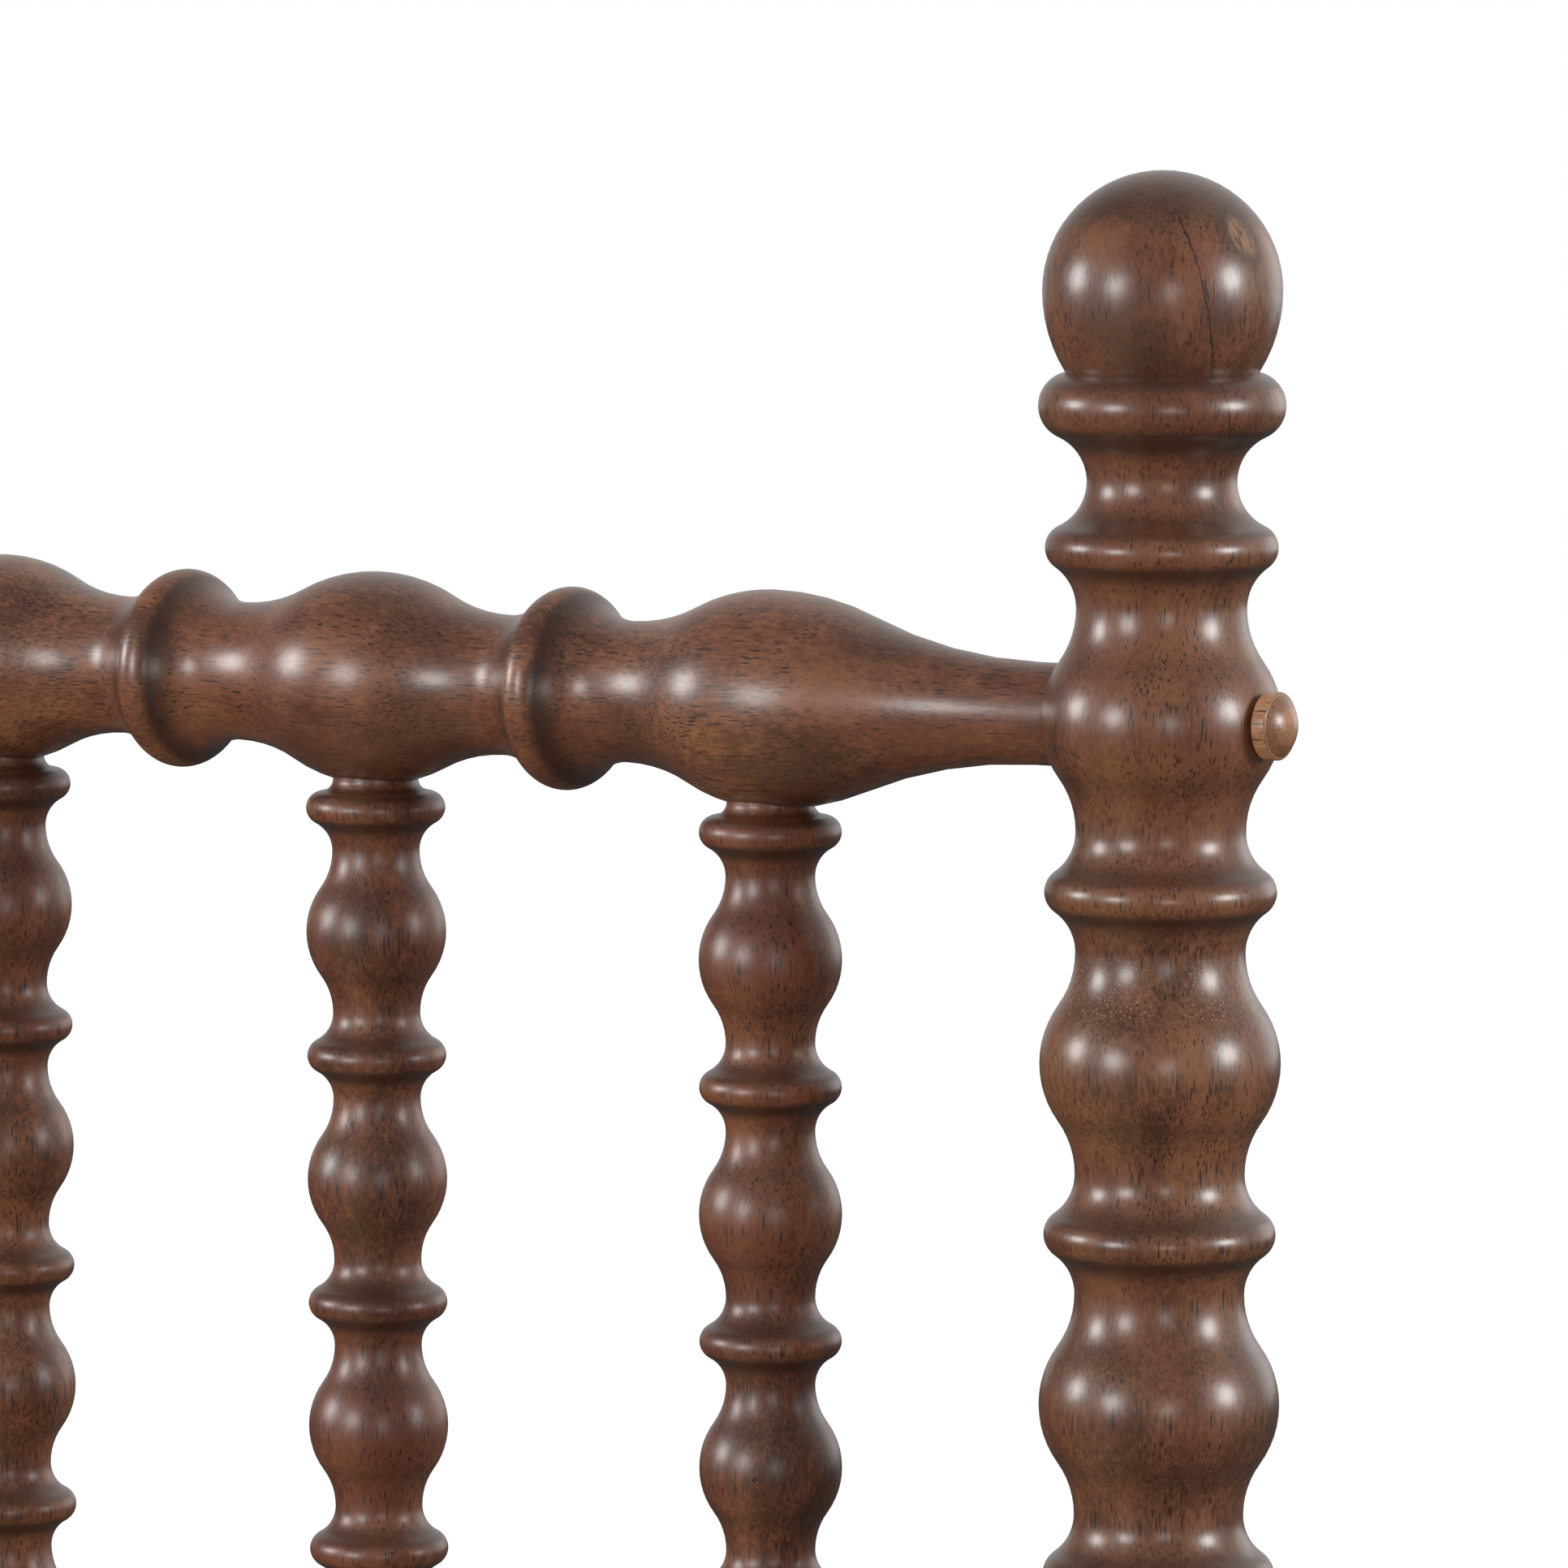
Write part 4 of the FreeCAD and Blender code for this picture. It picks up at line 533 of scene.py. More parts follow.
class Finish:
    """A material, or the world, while its nodes are being laid out."""

    def __init__(self, owner):
        self.owner = owner
        owner.use_nodes = True
        self.tree = owner.node_tree
        self.tree.nodes.clear()

    def node(self, kind, sockets=None, output=0, stops=None, **settings):
        """Add a node, with its settings first. Gives one of its outputs."""
        made = self.tree.nodes.new(kind)
        for name, value in settings.items():
            setattr(made, name, value)
        if stops:
            ramp = made.color_ramp
            while len(ramp.elements) < len(stops):
                ramp.elements.new(0.5)
            for element, (position, colour) in zip(ramp.elements, stops):
                element.position = position
                element.color = colour
        for name, value in (sockets or {}).items():
            if isinstance(value, Value):
                self.tree.links.new(value.socket, made.inputs[name])
            else:
                made.inputs[name].default_value = value
        return Value(self, made.outputs[output]) if made.outputs else None

    def place(self):
        """Where a point is on the bed, in metres."""
        return self.node("ShaderNodeTexCoord", output="Object")

    def vector(self, operation, *values, output=0):
        sockets = dict(enumerate(values))
        return self.node("ShaderNodeVectorMath", sockets, output, operation=operation)

    def noise(self, where, scale=1.0, detail=2.0, roughness=0.5):
        sockets = {"Vector": where, "Scale": scale, "Detail": detail, "Roughness": roughness}
        return self.node("ShaderNodeTexNoise", sockets, "Fac")

    def scattered(self, where, scale=1.0):
        """How far the nearest of many scattered points is."""
        sockets = {"Vector": where, "Scale": scale, "Randomness": 1.0}
        return self.node("ShaderNodeTexVoronoi", sockets, "Distance")

    def mix(self, share, one, other):
        """Between two colours. The sockets 6 and 7 are the colour ones."""
        return self.node("ShaderNodeMix", {0: share, 6: one, 7: other}, 2, data_type="RGBA")

    def bump(self, height, distance):
        sockets = {"Height": height, "Strength": 1.0, "Distance": distance}
        return self.node("ShaderNodeBump", sockets)

    def done(self, shader):
        """Wire the surface and give the material."""
        self.node("ShaderNodeOutputMaterial", {"Surface": shader})
        return self.owner


# ---------------------------------------------------------------- wood and its lacquer

GRAIN_TURN = {"X": (0, -math.pi / 2, 0), "Y": (math.pi / 2, 0, 0), "Z": (0, 0, 0)}
GRAIN_AXIS = {"X": (1, 0, 0), "Y": (0, 1, 0), "Z": (0, 0, 1)}
GRAIN_WANDER = (14, 14, 4)
GRAIN_WANDER_SLOWNESS = (0.009, 0.009, 0.004)

# Layers of the wood's colour: their size across and along the grain.
CLOUD = (38, 80)
PATCH = (11, 19)
MOTTLE = (1.5, 2.6)
FIBRE = (0.5, 15)
RED_TINT = (60, 130)
PORE_CROWD = (7, 45)
FINE_PORE = (0.95, 10)
FINE_PORE_WIDTH = 0.42
COARSE_PORE = (1.7, 22)
COARSE_PORE_WIDTH = 0.52
COARSE_PORE_SHIFT = (40, 30, 20)

# The lacquer's bump in metres, and the depth of marks as multiples of it.
LACQUER_BUMP = 0.00004
LACQUER_RIPPLES_PER_MM = 1.2
FIBRE_HEIGHT = 0.2
PORE_DEPTH = 0.9
CRACK_DEPTH = 5.0
PIT_DEPTH = 6.0
SPECK_HEIGHT = 3.0
ROUGHNESS_RANGE = 0.04
WOOD_IOR = 1.45
LACQUER_IOR = 1.5


def grain_place(finish, grain):
    """Where a point is in the wood, in millimetres, with the grain along Z.

    The grain wanders a little.
    """
    turned = finish.node("ShaderNodeMapping", {
        "Vector": finish.place(), "Rotation": GRAIN_TURN[grain], "Scale": TO_MM,
    })
    slow = finish.vector("MULTIPLY", turned, GRAIN_WANDER_SLOWNESS)
    sockets = {"Vector": slow, "Scale": 1.0, "Detail": 1.0}
    wander = finish.node("ShaderNodeTexNoise", sockets, "Color")
    centred = finish.vector("SUBTRACT", wander, (0.5, 0.5, 0.5))
    return finish.vector("ADD", turned, finish.vector("MULTIPLY", centred, GRAIN_WANDER))


def pores(finish, place, size, width):
    """Short dark vessels along the grain: dashes on a face, dots on a flank."""
    across, along = size
    cells = finish.vector("MULTIPLY", place, (1 / across, 1 / across, 1 / along))
    half = width / (2 * across)
    return 1 - finish.scattered(cells).rise(0.8 * half, 1.6 * half)


def stained_and_shaded_flanks(finish, grain, look, colour):
    """The end grain on the flanks of turned work takes more stain. The steep flanks also get
    painted shade, as in grooves, and the undersides get painted shade.
    """
    surface = finish.node("ShaderNodeNewGeometry", output="Normal")
    slope = finish.vector("DOT_PRODUCT", surface, GRAIN_AXIS[grain], output="Value")
    flank = slope.sum("ABSOLUTE")
    # Partly real end-grain stain, partly painted shade in the grooves beside beads and rings.
    end_grain_and_groove_shade = flank.rise(0.38, 0.75) * flank.rise(0.84, 0.97, 1.0, 0.45)
    colour = finish.mix(end_grain_and_groove_shade * look["end_grain_and_groove_shade"], colour, look["groove"])
    # Painted shade: faces that point down, under beads and bulbs, are darkened.
    painted_underside_shade = (slope * -1).rise(0.6, 0.78)
    return finish.mix(painted_underside_shade * look["painted_underside_shade"], colour, look["groove"])


def wood(name, grain, look, marks=None):
    """Stained or plain wood with its clouding, fibres and pores, under its lacquer."""
    finish = Finish(bpy.data.materials.new(name))
    place = grain_place(finish, grain)

    def field(size, detail=2.0, roughness=0.5):
        across, along = size
        length = along * look["grain_length"]
        where = finish.vector("MULTIPLY", place, (1 / across, 1 / across, 1 / length))
        return finish.noise(where, 1.0, detail, roughness)

    cloud = field(CLOUD, 3.0, 0.5)
    patch = field(PATCH, 3.0, 0.55)
    mottle = field(MOTTLE, 3.0, 0.65)
    fibre = field(FIBRE, 2.0, 0.6)
    toned = cloud * 0.3 + patch * 0.24 + mottle * 0.27 + fibre * 0.19
    colour = finish.node(
        "ShaderNodeValToRGB", {"Fac": toned.rise(0.39, 0.61)}, "Color",
        stops=[(0.0, look["dark"]), (0.5, look["middle"]), (1.0, look["light"])],
    )
    tint = field(RED_TINT).rise(0.42, 0.68)
    colour = finish.mix(tint * look["red_share"], colour, look["red"])

    crowd = field(PORE_CROWD)
    fine = pores(finish, place, FINE_PORE, FINE_PORE_WIDTH)
    fine = fine * crowd.rise(0.36, 0.58, 0.3, 1.0)
    shifted = finish.vector("ADD", place, COARSE_PORE_SHIFT)
    coarse = pores(finish, shifted, COARSE_PORE, COARSE_PORE_WIDTH)
    coarse = coarse * crowd.rise(0.3, 0.5, 0.2, 1.0)
    open_pores = fine.sum("MAXIMUM", coarse)
    colour = finish.mix(open_pores * look["pore_share"], colour, look["pore"])
    colour = stained_and_shaded_flanks(finish, grain, look, colour)

    lacquer = finish.noise(place, LACQUER_RIPPLES_PER_MM, 3.0, 0.65)
    height = lacquer * look["lacquer_ripple"] + fibre * FIBRE_HEIGHT
    height = height - open_pores * PORE_DEPTH
    if marks:
        colour, height = marks(finish, colour, height)

    smooth, rough = look["roughness"] - ROUGHNESS_RANGE, look["roughness"] + ROUGHNESS_RANGE
    shader = finish.node("ShaderNodeBsdfPrincipled", {
        "Base Color": colour, "Roughness": patch.rise(0.3, 0.7, smooth, rough),
        "Normal": finish.bump(height, LACQUER_BUMP), "IOR": WOOD_IOR,
        "Coat Weight": look["coat"], "Coat Roughness": look["coat_roughness"],
        "Coat IOR": LACQUER_IOR,
    }, "BSDF")
    return finish.done(shader)


# The flank colour darkens steep flanks, partly as end-grain stain and partly as painted shade
# in grooves. It also darkens undersides as painted shade.
WALNUT = {
    "dark": tone(76, 44, 28), "middle": tone(106, 64, 38), "light": tone(131, 84, 50),
    "red": tone(113, 60, 38), "red_share": 0.5, "pore": tone(40, 22, 17),
    "pore_share": 0.85, "groove": tone(56, 31, 21), "end_grain_and_groove_shade": 0.6, "painted_underside_shade": 0.55,
    "roughness": 0.46, "coat": 1.0, "coat_roughness": 0.28, "lacquer_ripple": 0.8,
    "grain_length": 1.0,
}
BOARD_WALNUT = dict(WALNUT, grain_length=4.5, painted_underside_shade=0.0)
RAIL_WALNUT = dict(
    WALNUT, dark=tone(80, 45, 30), middle=tone(115, 69, 43), light=tone(147, 94, 59),
    end_grain_and_groove_shade=0.85, painted_underside_shade=0.0, coat_roughness=0.3,
)
SPINDLE_WALNUT = dict(
    WALNUT, dark=tone(74, 41, 25), middle=tone(109, 62, 37), light=tone(137, 84, 49),
    red=tone(112, 56, 35), red_share=0.7, coat_roughness=0.35,
)
CAP_WOOD = dict(
    WALNUT, dark=tone(138, 90, 56), middle=tone(180, 130, 92), light=tone(204, 156, 116),
    red=tone(190, 128, 90), groove=tone(108, 68, 42), end_grain_and_groove_shade=0.75, painted_underside_shade=0.0,
)
PLAIN_WOOD = {
    "dark": tone(188, 152, 108), "middle": tone(212, 180, 136),
    "light": tone(226, 200, 160), "red": tone(206, 168, 124), "red_share": 0.4,
    "pore": tone(150, 112, 74), "pore_share": 0.3, "groove": tone(188, 152, 108),
    "end_grain_and_groove_shade": 0.25, "painted_underside_shade": 0.0, "roughness": 0.62, "coat": 0.0,
    "coat_roughness": 0.3, "lacquer_ripple": 0.5, "grain_length": 4.5,
}

# ---------------------------------------------------------------- metal and plastic

HARDWARE_BUMP = 0.00005
HARDWARE_RIPPLE = 0.3
HARDWARE_RIPPLES_PER_M = 1250.0
HARDWARE_CLOUDS_PER_M = 60.0
HARDWARE_SHADE = 0.8


def plain(name, colour, roughness, metallic=0.0):
    """Metal or plastic: one colour, a little unevenly rough and rippled."""
    finish = Finish(bpy.data.materials.new(name))
    uneven = finish.noise(finish.place(), HARDWARE_RIPPLES_PER_M, 3.0, 0.6)
    broad = finish.noise(finish.place(), HARDWARE_CLOUDS_PER_M, 2.0, 0.5)
    darker = tuple(HARDWARE_SHADE * part for part in colour[:3]) + (1.0,)
    shader = finish.node("ShaderNodeBsdfPrincipled", {
        "Base Color": finish.mix(broad.rise(0.35, 0.65), darker, colour),
        "Roughness": uneven.rise(0.3, 0.7, roughness - 0.05, roughness + 0.07),
        "Metallic": metallic, "Normal": finish.bump(uneven * HARDWARE_RIPPLE, HARDWARE_BUMP),
    }, "BSDF")
    return finish.done(shader)


# ---------------------------------------------------------------- marks in the finish

PIT_COLOUR = tone(36, 22, 17)
KNOT_COLOUR = tone(150, 112, 82)
KNOT_RIM = tone(52, 36, 28)
SPECK_COLOUR = tone(176, 140, 112)

# The marks are placed as seen from the corner that the camera looks at.
POST_TO_CAMERA = Vector((0.504, -0.8637, 0))
POST_TO_RIGHT = Vector((0.8637, 0.504, 0))
UP = Vector((0, 0, 1))
HEAD_AXIS = rail_axis_height(HEAD)
BALL_CENTRE = Vector((POST_X, POST_Y, top_bead_height(HEAD) + BALL_CENTRE_RISE))


def ball_point(right, up):
    """A point of the ball's face towards the camera's corner."""
    ahead = math.sqrt(BALL**2 - right**2 - up**2)
    return BALL_CENTRE + POST_TO_RIGHT * right + POST_TO_CAMERA * ahead + UP * up


def rail_point(from_post, angle, radius):
    """A point of the top rail, at an angle up from its side towards the bed."""
    lift = math.radians(angle)
    return (POST_X - from_post, POST_Y - radius * math.cos(lift),
            HEAD_AXIS + radius * math.sin(lift))


def spindle_point(number, below_rail, azimuth, radius):
    """A point of a spindle, counted from the right post, at an angle to the right."""
    turn = math.radians(azimuth)
    x = POST_X - POST_TO_SPINDLE - number * SPINDLE_PITCH
    return (x + radius * math.sin(turn), POST_Y - radius * math.cos(turn),
            HEAD_AXIS - below_rail)


def from_point(finish, point):
    """Where the surface is, in millimetres, seen from a point of the bed."""
    return finish.node("ShaderNodeMapping", {
        "Vector": finish.place(), "Scale": TO_MM, "Location": tuple(-one for one in point),
    })


def along_direction(finish, place, direction):
    return finish.vector("DOT_PRODUCT", place, tuple(direction), output="Value")


PIT_RADIUS = 0.9
PIT_FLOOR = 0.55
STAIN_CLOUDS_PER_MM = 0.2
STAIN_RAGGEDNESS = 1.6


def patched_with_stain_and_shade(stain_and_shade_patches, pits=()):
    """Marks of a finish: soft patches (point, size, colour, share), some of them real blotches
    of the wood and some painted shade, and small dark pits.
    """
    def mark(finish, colour, height):
        # Each patch tints the colour around its point. The rail's dark patches are painted
        # shade.
        for point, spread, stain_and_shade_colour, share in stain_and_shade_patches:
            place = from_point(finish, point)
            away = finish.vector("LENGTH", place, output="Value") / spread
            ragged = finish.noise(place, STAIN_CLOUDS_PER_MM, 3.0, 0.65) - 0.5
            inside = 1 - (away + ragged * STAIN_RAGGEDNESS).rise(0.3, 1.15)
            colour = finish.mix(inside * share, colour, stain_and_shade_colour)
        for point in pits:
            away = finish.vector("LENGTH", from_point(finish, point), output="Value")
            pit = 1 - away.rise(PIT_FLOOR * PIT_RADIUS, PIT_RADIUS)
            colour = finish.mix(pit * 0.85, colour, PIT_COLOUR)
            height = height - pit * PIT_DEPTH
        return colour, height

    return mark


BALL_STAINS = patched_with_stain_and_shade([
    (ball_point(-15, -9), 15, tone(68, 44, 32), 0.5),
    (ball_point(-4, -16), 14, tone(64, 40, 29), 0.45),
    (ball_point(15, -7), 8, tone(66, 38, 30), 0.4),
    (ball_point(-16, 13), 9, tone(140, 88, 58), 0.5),
    (ball_point(12, 10), 8, tone(134, 78, 54), 0.4),
])
# The first patch is a real orange stain. The five dark patches after it are painted shade,
# four on the rail's lower side and one on its upper side. The pits are real.
RAIL_STAIN_SHADE_AND_PITS = patched_with_stain_and_shade([
    (rail_point(89, 14, 27.0), 18, tone(158, 100, 64), 0.5),
    (rail_point(154, -40, 22.0), 24, tone(68, 40, 27), 0.55),
    (rail_point(104, -46, 27.0), 24, tone(64, 35, 24), 0.6),
    (rail_point(80, 58, 24.0), 14, tone(74, 48, 36), 0.45),
    (rail_point(225, -40, 22.0), 24, tone(68, 38, 26), 0.5),
    (rail_point(260, -46, 28.0), 24, tone(66, 36, 25), 0.5),
], [
    rail_point(256.5, 34, 30.0), rail_point(121.9, 54, 30.0), rail_point(114.2, 86, 29.8),
    rail_point(167.5, 50, 19.5),
])
SPINDLE_MARKS = patched_with_stain_and_shade([], [
    spindle_point(0, 60.0, 53, 16.2), spindle_point(1, 124.8, 4, 13.3),
    spindle_point(0, 212.7, 20, 19.7),
])

# A crack's azimuth to the right, its lean, its foot and its top, from the ball's centre.
CRACKS = ((20.2, 0.217, -41.0, 23.0), (21.9, 0.3, -3.0, 5.5))
CRACK_WOBBLES_PER_MM = 0.35
CRACK_BEND = 1.6
CRACK_EDGE = 0.16


def cracked(ahead, aside, up, wobble, azimuth, lean, foot, top):
    """How far inside a fine crack a point is. It leans from foot to top."""
    turn = math.radians(azimuth)
    off = aside * math.cos(turn) - ahead * math.sin(turn) + up * lean
    off = (off + (wobble - 0.5) * CRACK_BEND).sum("ABSOLUTE")
    facing = (ahead * math.cos(turn) + aside * math.sin(turn)).rise(0.0, 2.0)
    reach = up.rise(foot, foot + 2) * (1 - up.rise(top - 3, top))
    width = wobble.rise(0.3, 0.7, 0.05, 0.2)
    return (1 - (off - width).rise(0.0, CRACK_EDGE)) * facing * reach


KNOT = ball_point(20.3, 15.0)
KNOT_LEAN = 0.5
KNOT_HALF_WIDTH = 2.6
KNOT_HALF_HEIGHT = 5.0
KNOT_STREAKS_ACROSS = 1.2
KNOT_STREAKS_ALONG = 0.24
KNOT_RIM_RAGGEDNESS = 6.0


def knotted(finish, colour):
    """The pale knot, streaked along the grain, in its dark rim."""
    place = from_point(finish, KNOT)
    down = along_direction(finish, place, UP)
    side = along_direction(finish, place, POST_TO_RIGHT) + down * KNOT_LEAN
    along = finish.node("ShaderNodeCombineXYZ", {
        "X": side * KNOT_STREAKS_ACROSS, "Y": down * KNOT_STREAKS_ALONG,
    })
    streaks = finish.noise(along, 1.0, 3.0, 0.65)
    spread = (side / KNOT_HALF_WIDTH) ** 2.0 + (down / KNOT_HALF_HEIGHT) ** 2.0
    ragged = (streaks - 0.5) * KNOT_RIM_RAGGEDNESS
    dark_rim = 1 - (spread + ragged).rise(0.8, 4.2)
    colour = finish.mix(dark_rim * 0.6, colour, KNOT_RIM)
    pale = (1 - spread.rise(0.3, 1.7)) * streaks.rise(0.38, 0.56)
    return finish.mix(pale * 0.9, colour, KNOT_COLOUR)


SPECKS_BELOW_BALL = 184.0
SPECKS_PER_MM = 0.85
SPECK_CROWDS_PER_MM = 0.09
SPECK_BAND = (5.0, 10.0)


def specked(finish, ball, aside, up):
    """Raised specks in a band round one bulb, in two crowds left and right."""
    dots = 1 - finish.scattered(ball, SPECKS_PER_MM).rise(0.17, 0.36)
    band = 1 - (up + SPECKS_BELOW_BALL).sum("ABSOLUTE").rise(*SPECK_BAND)
    crowd = finish.noise(ball, SPECK_CROWDS_PER_MM, 2.0, 0.5).rise(0.32, 0.44)
    crowd = crowd * (aside - 2.0).sum("ABSOLUTE").rise(2.0, 8.0, 0.15, 1.0)
    return dots * band * crowd


def finial_marks(finish, colour, height):
    """The drying crack down the ball, its pale knot, and raised specks on one bulb."""
    colour, height = BALL_STAINS(finish, colour, height)
    ball = from_point(finish, BALL_CENTRE)
    ahead = along_direction(finish, ball, POST_TO_CAMERA)
    aside = along_direction(finish, ball, POST_TO_RIGHT)
    up = along_direction(finish, ball, UP)
    wobble = finish.noise(ball, CRACK_WOBBLES_PER_MM, 3.0, 0.6)
    for crack in CRACKS:
        depth = cracked(ahead, aside, up, wobble, *crack)
        colour = finish.mix(depth * 0.9, colour, PIT_COLOUR)
        height = height - depth * CRACK_DEPTH
    colour = knotted(finish, colour)
    speck = specked(finish, ball, aside, up)
    colour = finish.mix(speck * 0.6, colour, SPECK_COLOUR)
    return colour, height + speck * SPECK_HEIGHT


# ---------------------------------------------------------------- finishes

upright_walnut = wood("upright_walnut", "Z", WALNUT)
marked_walnut = wood("marked_walnut", "Z", WALNUT, marks=finial_marks)
rail_walnut = wood("rail_walnut", "X", RAIL_WALNUT, marks=RAIL_STAIN_SHADE_AND_PITS)
spindle_walnut = wood("spindle_walnut", "Z", SPINDLE_WALNUT, marks=SPINDLE_MARKS)
cap_finish = wood("cap_wood_finish", "X", CAP_WOOD)

# The CAD nodes that show as they are take a finish by their slot and their grain.
SLOT_LOOKS = {
    "walnut_wood": BOARD_WALNUT, "slat_wood": PLAIN_WOOD, "dowel_wood": PLAIN_WOOD,
}
KEPT_FINISHES = {
    "zinc_steel": plain("zinc_steel_finish", tone(196, 200, 204), 0.34, 1.0),
    "black_plastic": plain("black_plastic_finish", tone(34, 34, 36), 0.5),
}
for slot_name, look in SLOT_LOOKS.items():
    for grain in "XYZ":
        finish_name = f"{slot_name}_along_{grain.lower()}"
        KEPT_FINISHES[slot_name, grain] = wood(finish_name, grain, look)

# ---------------------------------------------------------------- dressing


def dress_post(end, side, hand):
    label = f"{end['end']}_post_{side}"
    toward = end["toward"]
    mesh = merged(turned_foot(), block_with_seats(toward), turned_shaft(end))
    place = Matrix.Translation((hand * POST_X, toward * POST_Y, 0))
    finish = marked_walnut if label == "headboard_post_right" else upright_walnut
    hand_over(object_from(mesh, f"turned_{label}", place), finish, "walnut_wood", label)


def dress_top_rail(end):
    label = f"{end['end']}_top_rail"
    start = (RAIL_END_INSIDE_POST - POST_X, end["toward"] * POST_Y, rail_axis_height(end))
    place = Matrix.Translation(start) @ Matrix.Rotation(math.pi / 2, 4, "Y")
    rail = object_from(turned_rail(), f"turned_{label}", place)
    hand_over(rail, rail_walnut, "walnut_wood", label)


def dress_spindles(end):
    """All spindles of an end are one turning. Each is turned round its axis a little."""
    first_spindle = turned_spindle(end)
    for number in range(SPINDLE_COUNT):
        label = f"{end['end']}_spindle_{number + 1}"
        x = POST_TO_SPINDLE - POST_X + number * SPINDLE_PITCH
        turn = Matrix.Rotation(number * SPINDLE_TURN, 4, "Z")
        place = Matrix.Translation((x, end["toward"] * POST_Y, 0)) @ turn
        spindle = object_from(first_spindle.copy(), f"turned_{label}", place)
        hand_over(spindle, spindle_walnut, "walnut_wood", label)
    first_spindle.free()


def dress_cap_plugs():
    caps = []
    for end in (HEAD, FOOT):
        for hand in (1, -1):
            cap = turned_cap()
            seat = (hand * (POST_X + POST_BULB), end["toward"] * POST_Y,
                    rail_axis_height(end))
            outwards = Matrix.Rotation(hand * math.pi / 2, 4, "Y")
            bmesh.ops.transform(
                cap, matrix=Matrix.Translation(seat) @ outwards, verts=cap.verts[:]
            )
            caps.append(cap)
    plugs = object_from(merged(*caps), "turned_cap_plugs")
    hand_over(plugs, cap_finish, "cap_wood", "cap_plugs")


def finish_kept_nodes():
    """Boards, slats and hardware stay as packed. The grain runs along the longest side."""
    for name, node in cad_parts.items():
        if node.hide_render:
            continue
        low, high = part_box(name)
        grain = "XYZ"[max(range(3), key=lambda axis: high[axis] - low[axis])]
        for material_slot in node.material_slots:
            slot_name = material_slot.material.name.split(".")[0]
            wooden = slot_name in SLOT_LOOKS
            material_slot.material = KEPT_FINISHES[(slot_name, grain) if wooden else slot_name]


for end in (HEAD, FOOT):
    dress_post(end, "right", 1)
    dress_post(end, "left", -1)
    dress_top_rail(end)
    dress_spindles(end)
dress_cap_plugs()
finish_kept_nodes()

# ---------------------------------------------------------------- camera

scene = bpy.context.scene
scene.view_settings.view_transform = "Standard"

CAMERA_X, CAMERA_Y = 1.7189, -1.06347
CAMERA_ABOVE_RAIL = 0.20666
CAMERA_TURN = math.radians(32.6773)
CAMERA_DIP = math.radians(5.374)
CAMERA_ROLL = math.radians(-0.0278)

camera_data = bpy.data.cameras.new("camera")
camera_data.sensor_width = 36
camera_data.lens = 206.26
camera_data.clip_end = 100
camera = bpy.data.objects.new("camera", camera_data)
scene.collection.objects.link(camera)
camera.matrix_world = (
    Matrix.Translation((CAMERA_X, CAMERA_Y, HEAD_AXIS * MM + CAMERA_ABOVE_RAIL))
    @ Matrix.Rotation(CAMERA_TURN, 4, "Z")
    @ Matrix.Rotation(math.pi / 2 - CAMERA_DIP, 4, "X")
    @ Matrix.Rotation(CAMERA_ROLL, 4, "Z")
)
scene.camera = camera

# ---------------------------------------------------------------- lamps

LAMP_TARGET = Vector((POST_X, POST_Y, HEAD_AXIS)) * MM
LAMP_DISTANCE = 3.0

# Each lamp's azimuth to the right of the camera, its elevation, its width and its power.
LAMPS = {
    "left_lamp": (-90, 11, 0.85, 30),
    "left_front_lamp": (-46, 8, 0.85, 28),
    "front_lamp": (8, 3, 0.7, 8),
    "right_lamp": (70, 12, 0.95, 48),
    "rim_lamp": (138, 6, 1.6, 5),
}


def lamp(name, azimuth, elevation, width, power):
    """A soft round lamp that looks at the headboard's corner."""
    turn, lift = math.radians(azimuth), math.radians(elevation)
    level = POST_TO_CAMERA * math.cos(turn) + POST_TO_RIGHT * math.sin(turn)
    direction = level * math.cos(lift) + UP * math.sin(lift)
    data = bpy.data.lights.new(name, "AREA")
    data.shape = "DISK"
    data.size = width
    data.energy = power
    thing = bpy.data.objects.new(name, data)
    scene.collection.objects.link(thing)
    thing.location = LAMP_TARGET + direction * LAMP_DISTANCE
    thing.rotation_euler = (-direction).to_track_quat("-Z", "Y").to_euler()


for lamp_name, settings in LAMPS.items():
    lamp(lamp_name, *settings)

# ---------------------------------------------------------------- world and floor


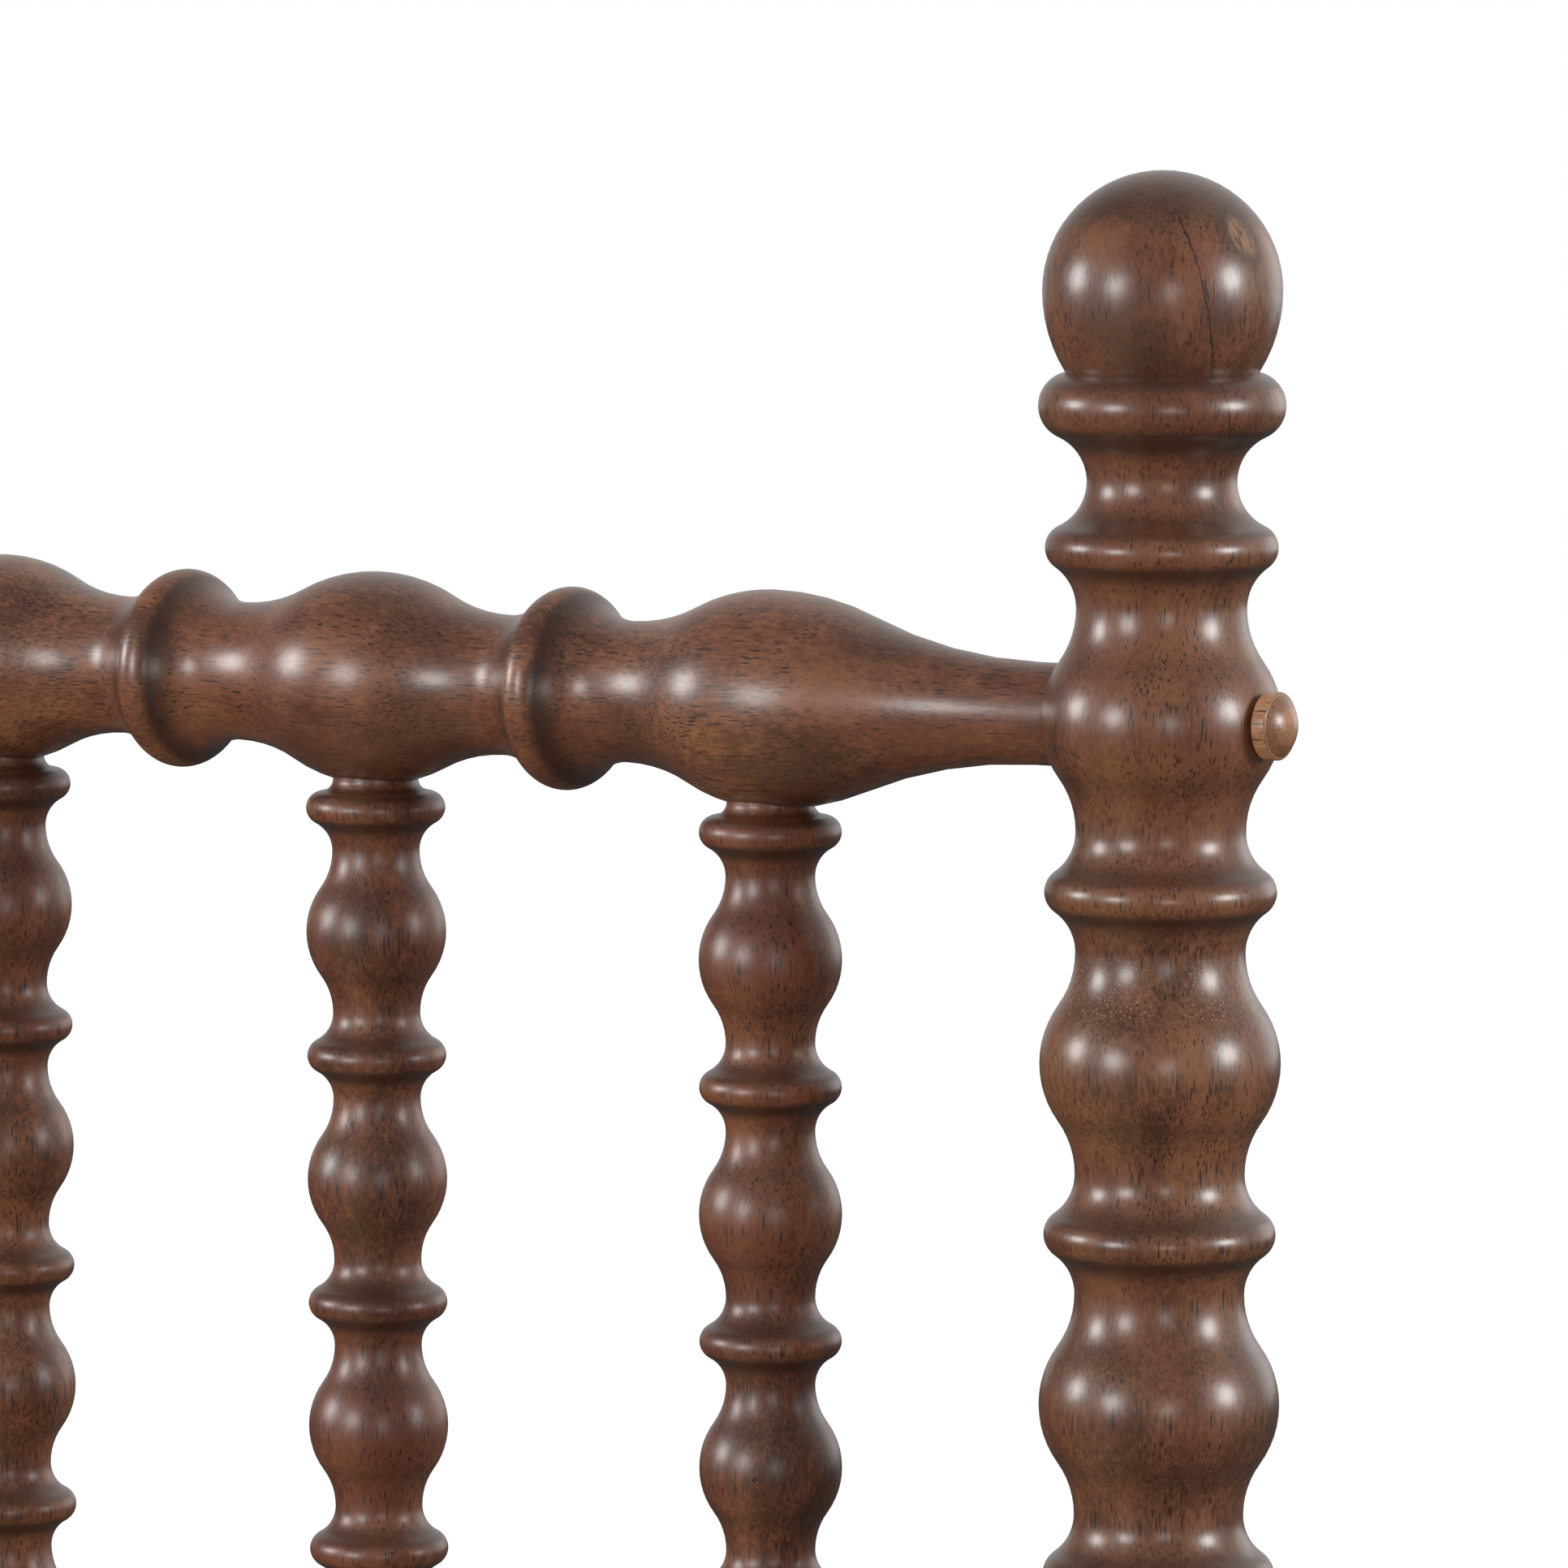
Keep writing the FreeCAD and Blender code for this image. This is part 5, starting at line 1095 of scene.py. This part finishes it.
def ray_kind(finish, *kinds):
    """1 for rays of any of these kinds, else 0."""
    values = [finish.node("ShaderNodeLightPath", output=f"Is {kind} Ray") for kind in kinds]
    whole = values[0]
    for value in values[1:]:
        whole = whole.sum("MAXIMUM", value)
    return whole


scene.world = bpy.data.worlds.new("studio")
studio = Finish(scene.world)

# The pale side of the studio, behind the post and to its right, shows in the rims.
PALE_SIDE = (POST_TO_RIGHT * 0.45 - POST_TO_CAMERA).normalized()

skyward = studio.node("ShaderNodeTexCoord", output="Generated")
behind = along_direction(studio, skyward, PALE_SIDE)
above = along_direction(studio, skyward, UP)
mirrored = behind.rise(-0.1, 0.95, 0.03, 0.6) + above.rise(0.15, 0.95, 0.0, 0.1)
diffused = above.rise(-0.3, 1.0, 0.08, 0.8)
glossy = ray_kind(studio, "Glossy")
strength = (1 - glossy) * diffused + glossy * mirrored
strength = ray_kind(studio, "Camera", "Transmission").sum("MAXIMUM", strength)
background = studio.node("ShaderNodeBackground", {"Color": WHITE, "Strength": strength})
studio.node("ShaderNodeOutputWorld", {"Surface": background})

FLOOR_RADIUS = 14.0
FLOOR_SIDES = 96
FLOOR_GREY = (0.36, 0.36, 0.36, 1)
FLOOR_GLOW = 0.82
FLOOR_MIRRORED = 0.06

floor_mesh = bmesh.new()
bmesh.ops.create_circle(
    floor_mesh, cap_ends=True, segments=FLOOR_SIDES, radius=FLOOR_RADIUS
)
floor = linked(floor_mesh, "floor")
pale = Finish(bpy.data.materials.new("pale_floor"))
bounce = pale.node("ShaderNodeBsdfDiffuse", {"Color": FLOOR_GREY})
shown = ray_kind(pale, "Camera", "Transmission") * FLOOR_GLOW
glow = pale.node("ShaderNodeEmission", {"Color": WHITE, "Strength": shown})
lit = pale.node("ShaderNodeAddShader", {0: bounce, 1: glow})
dim = pale.node("ShaderNodeEmission", {"Color": WHITE, "Strength": FLOOR_MIRRORED})
surface = pale.node("ShaderNodeMixShader", {0: ray_kind(pale, "Glossy"), 1: lit, 2: dim})
floor.data.materials.append(pale.done(surface))
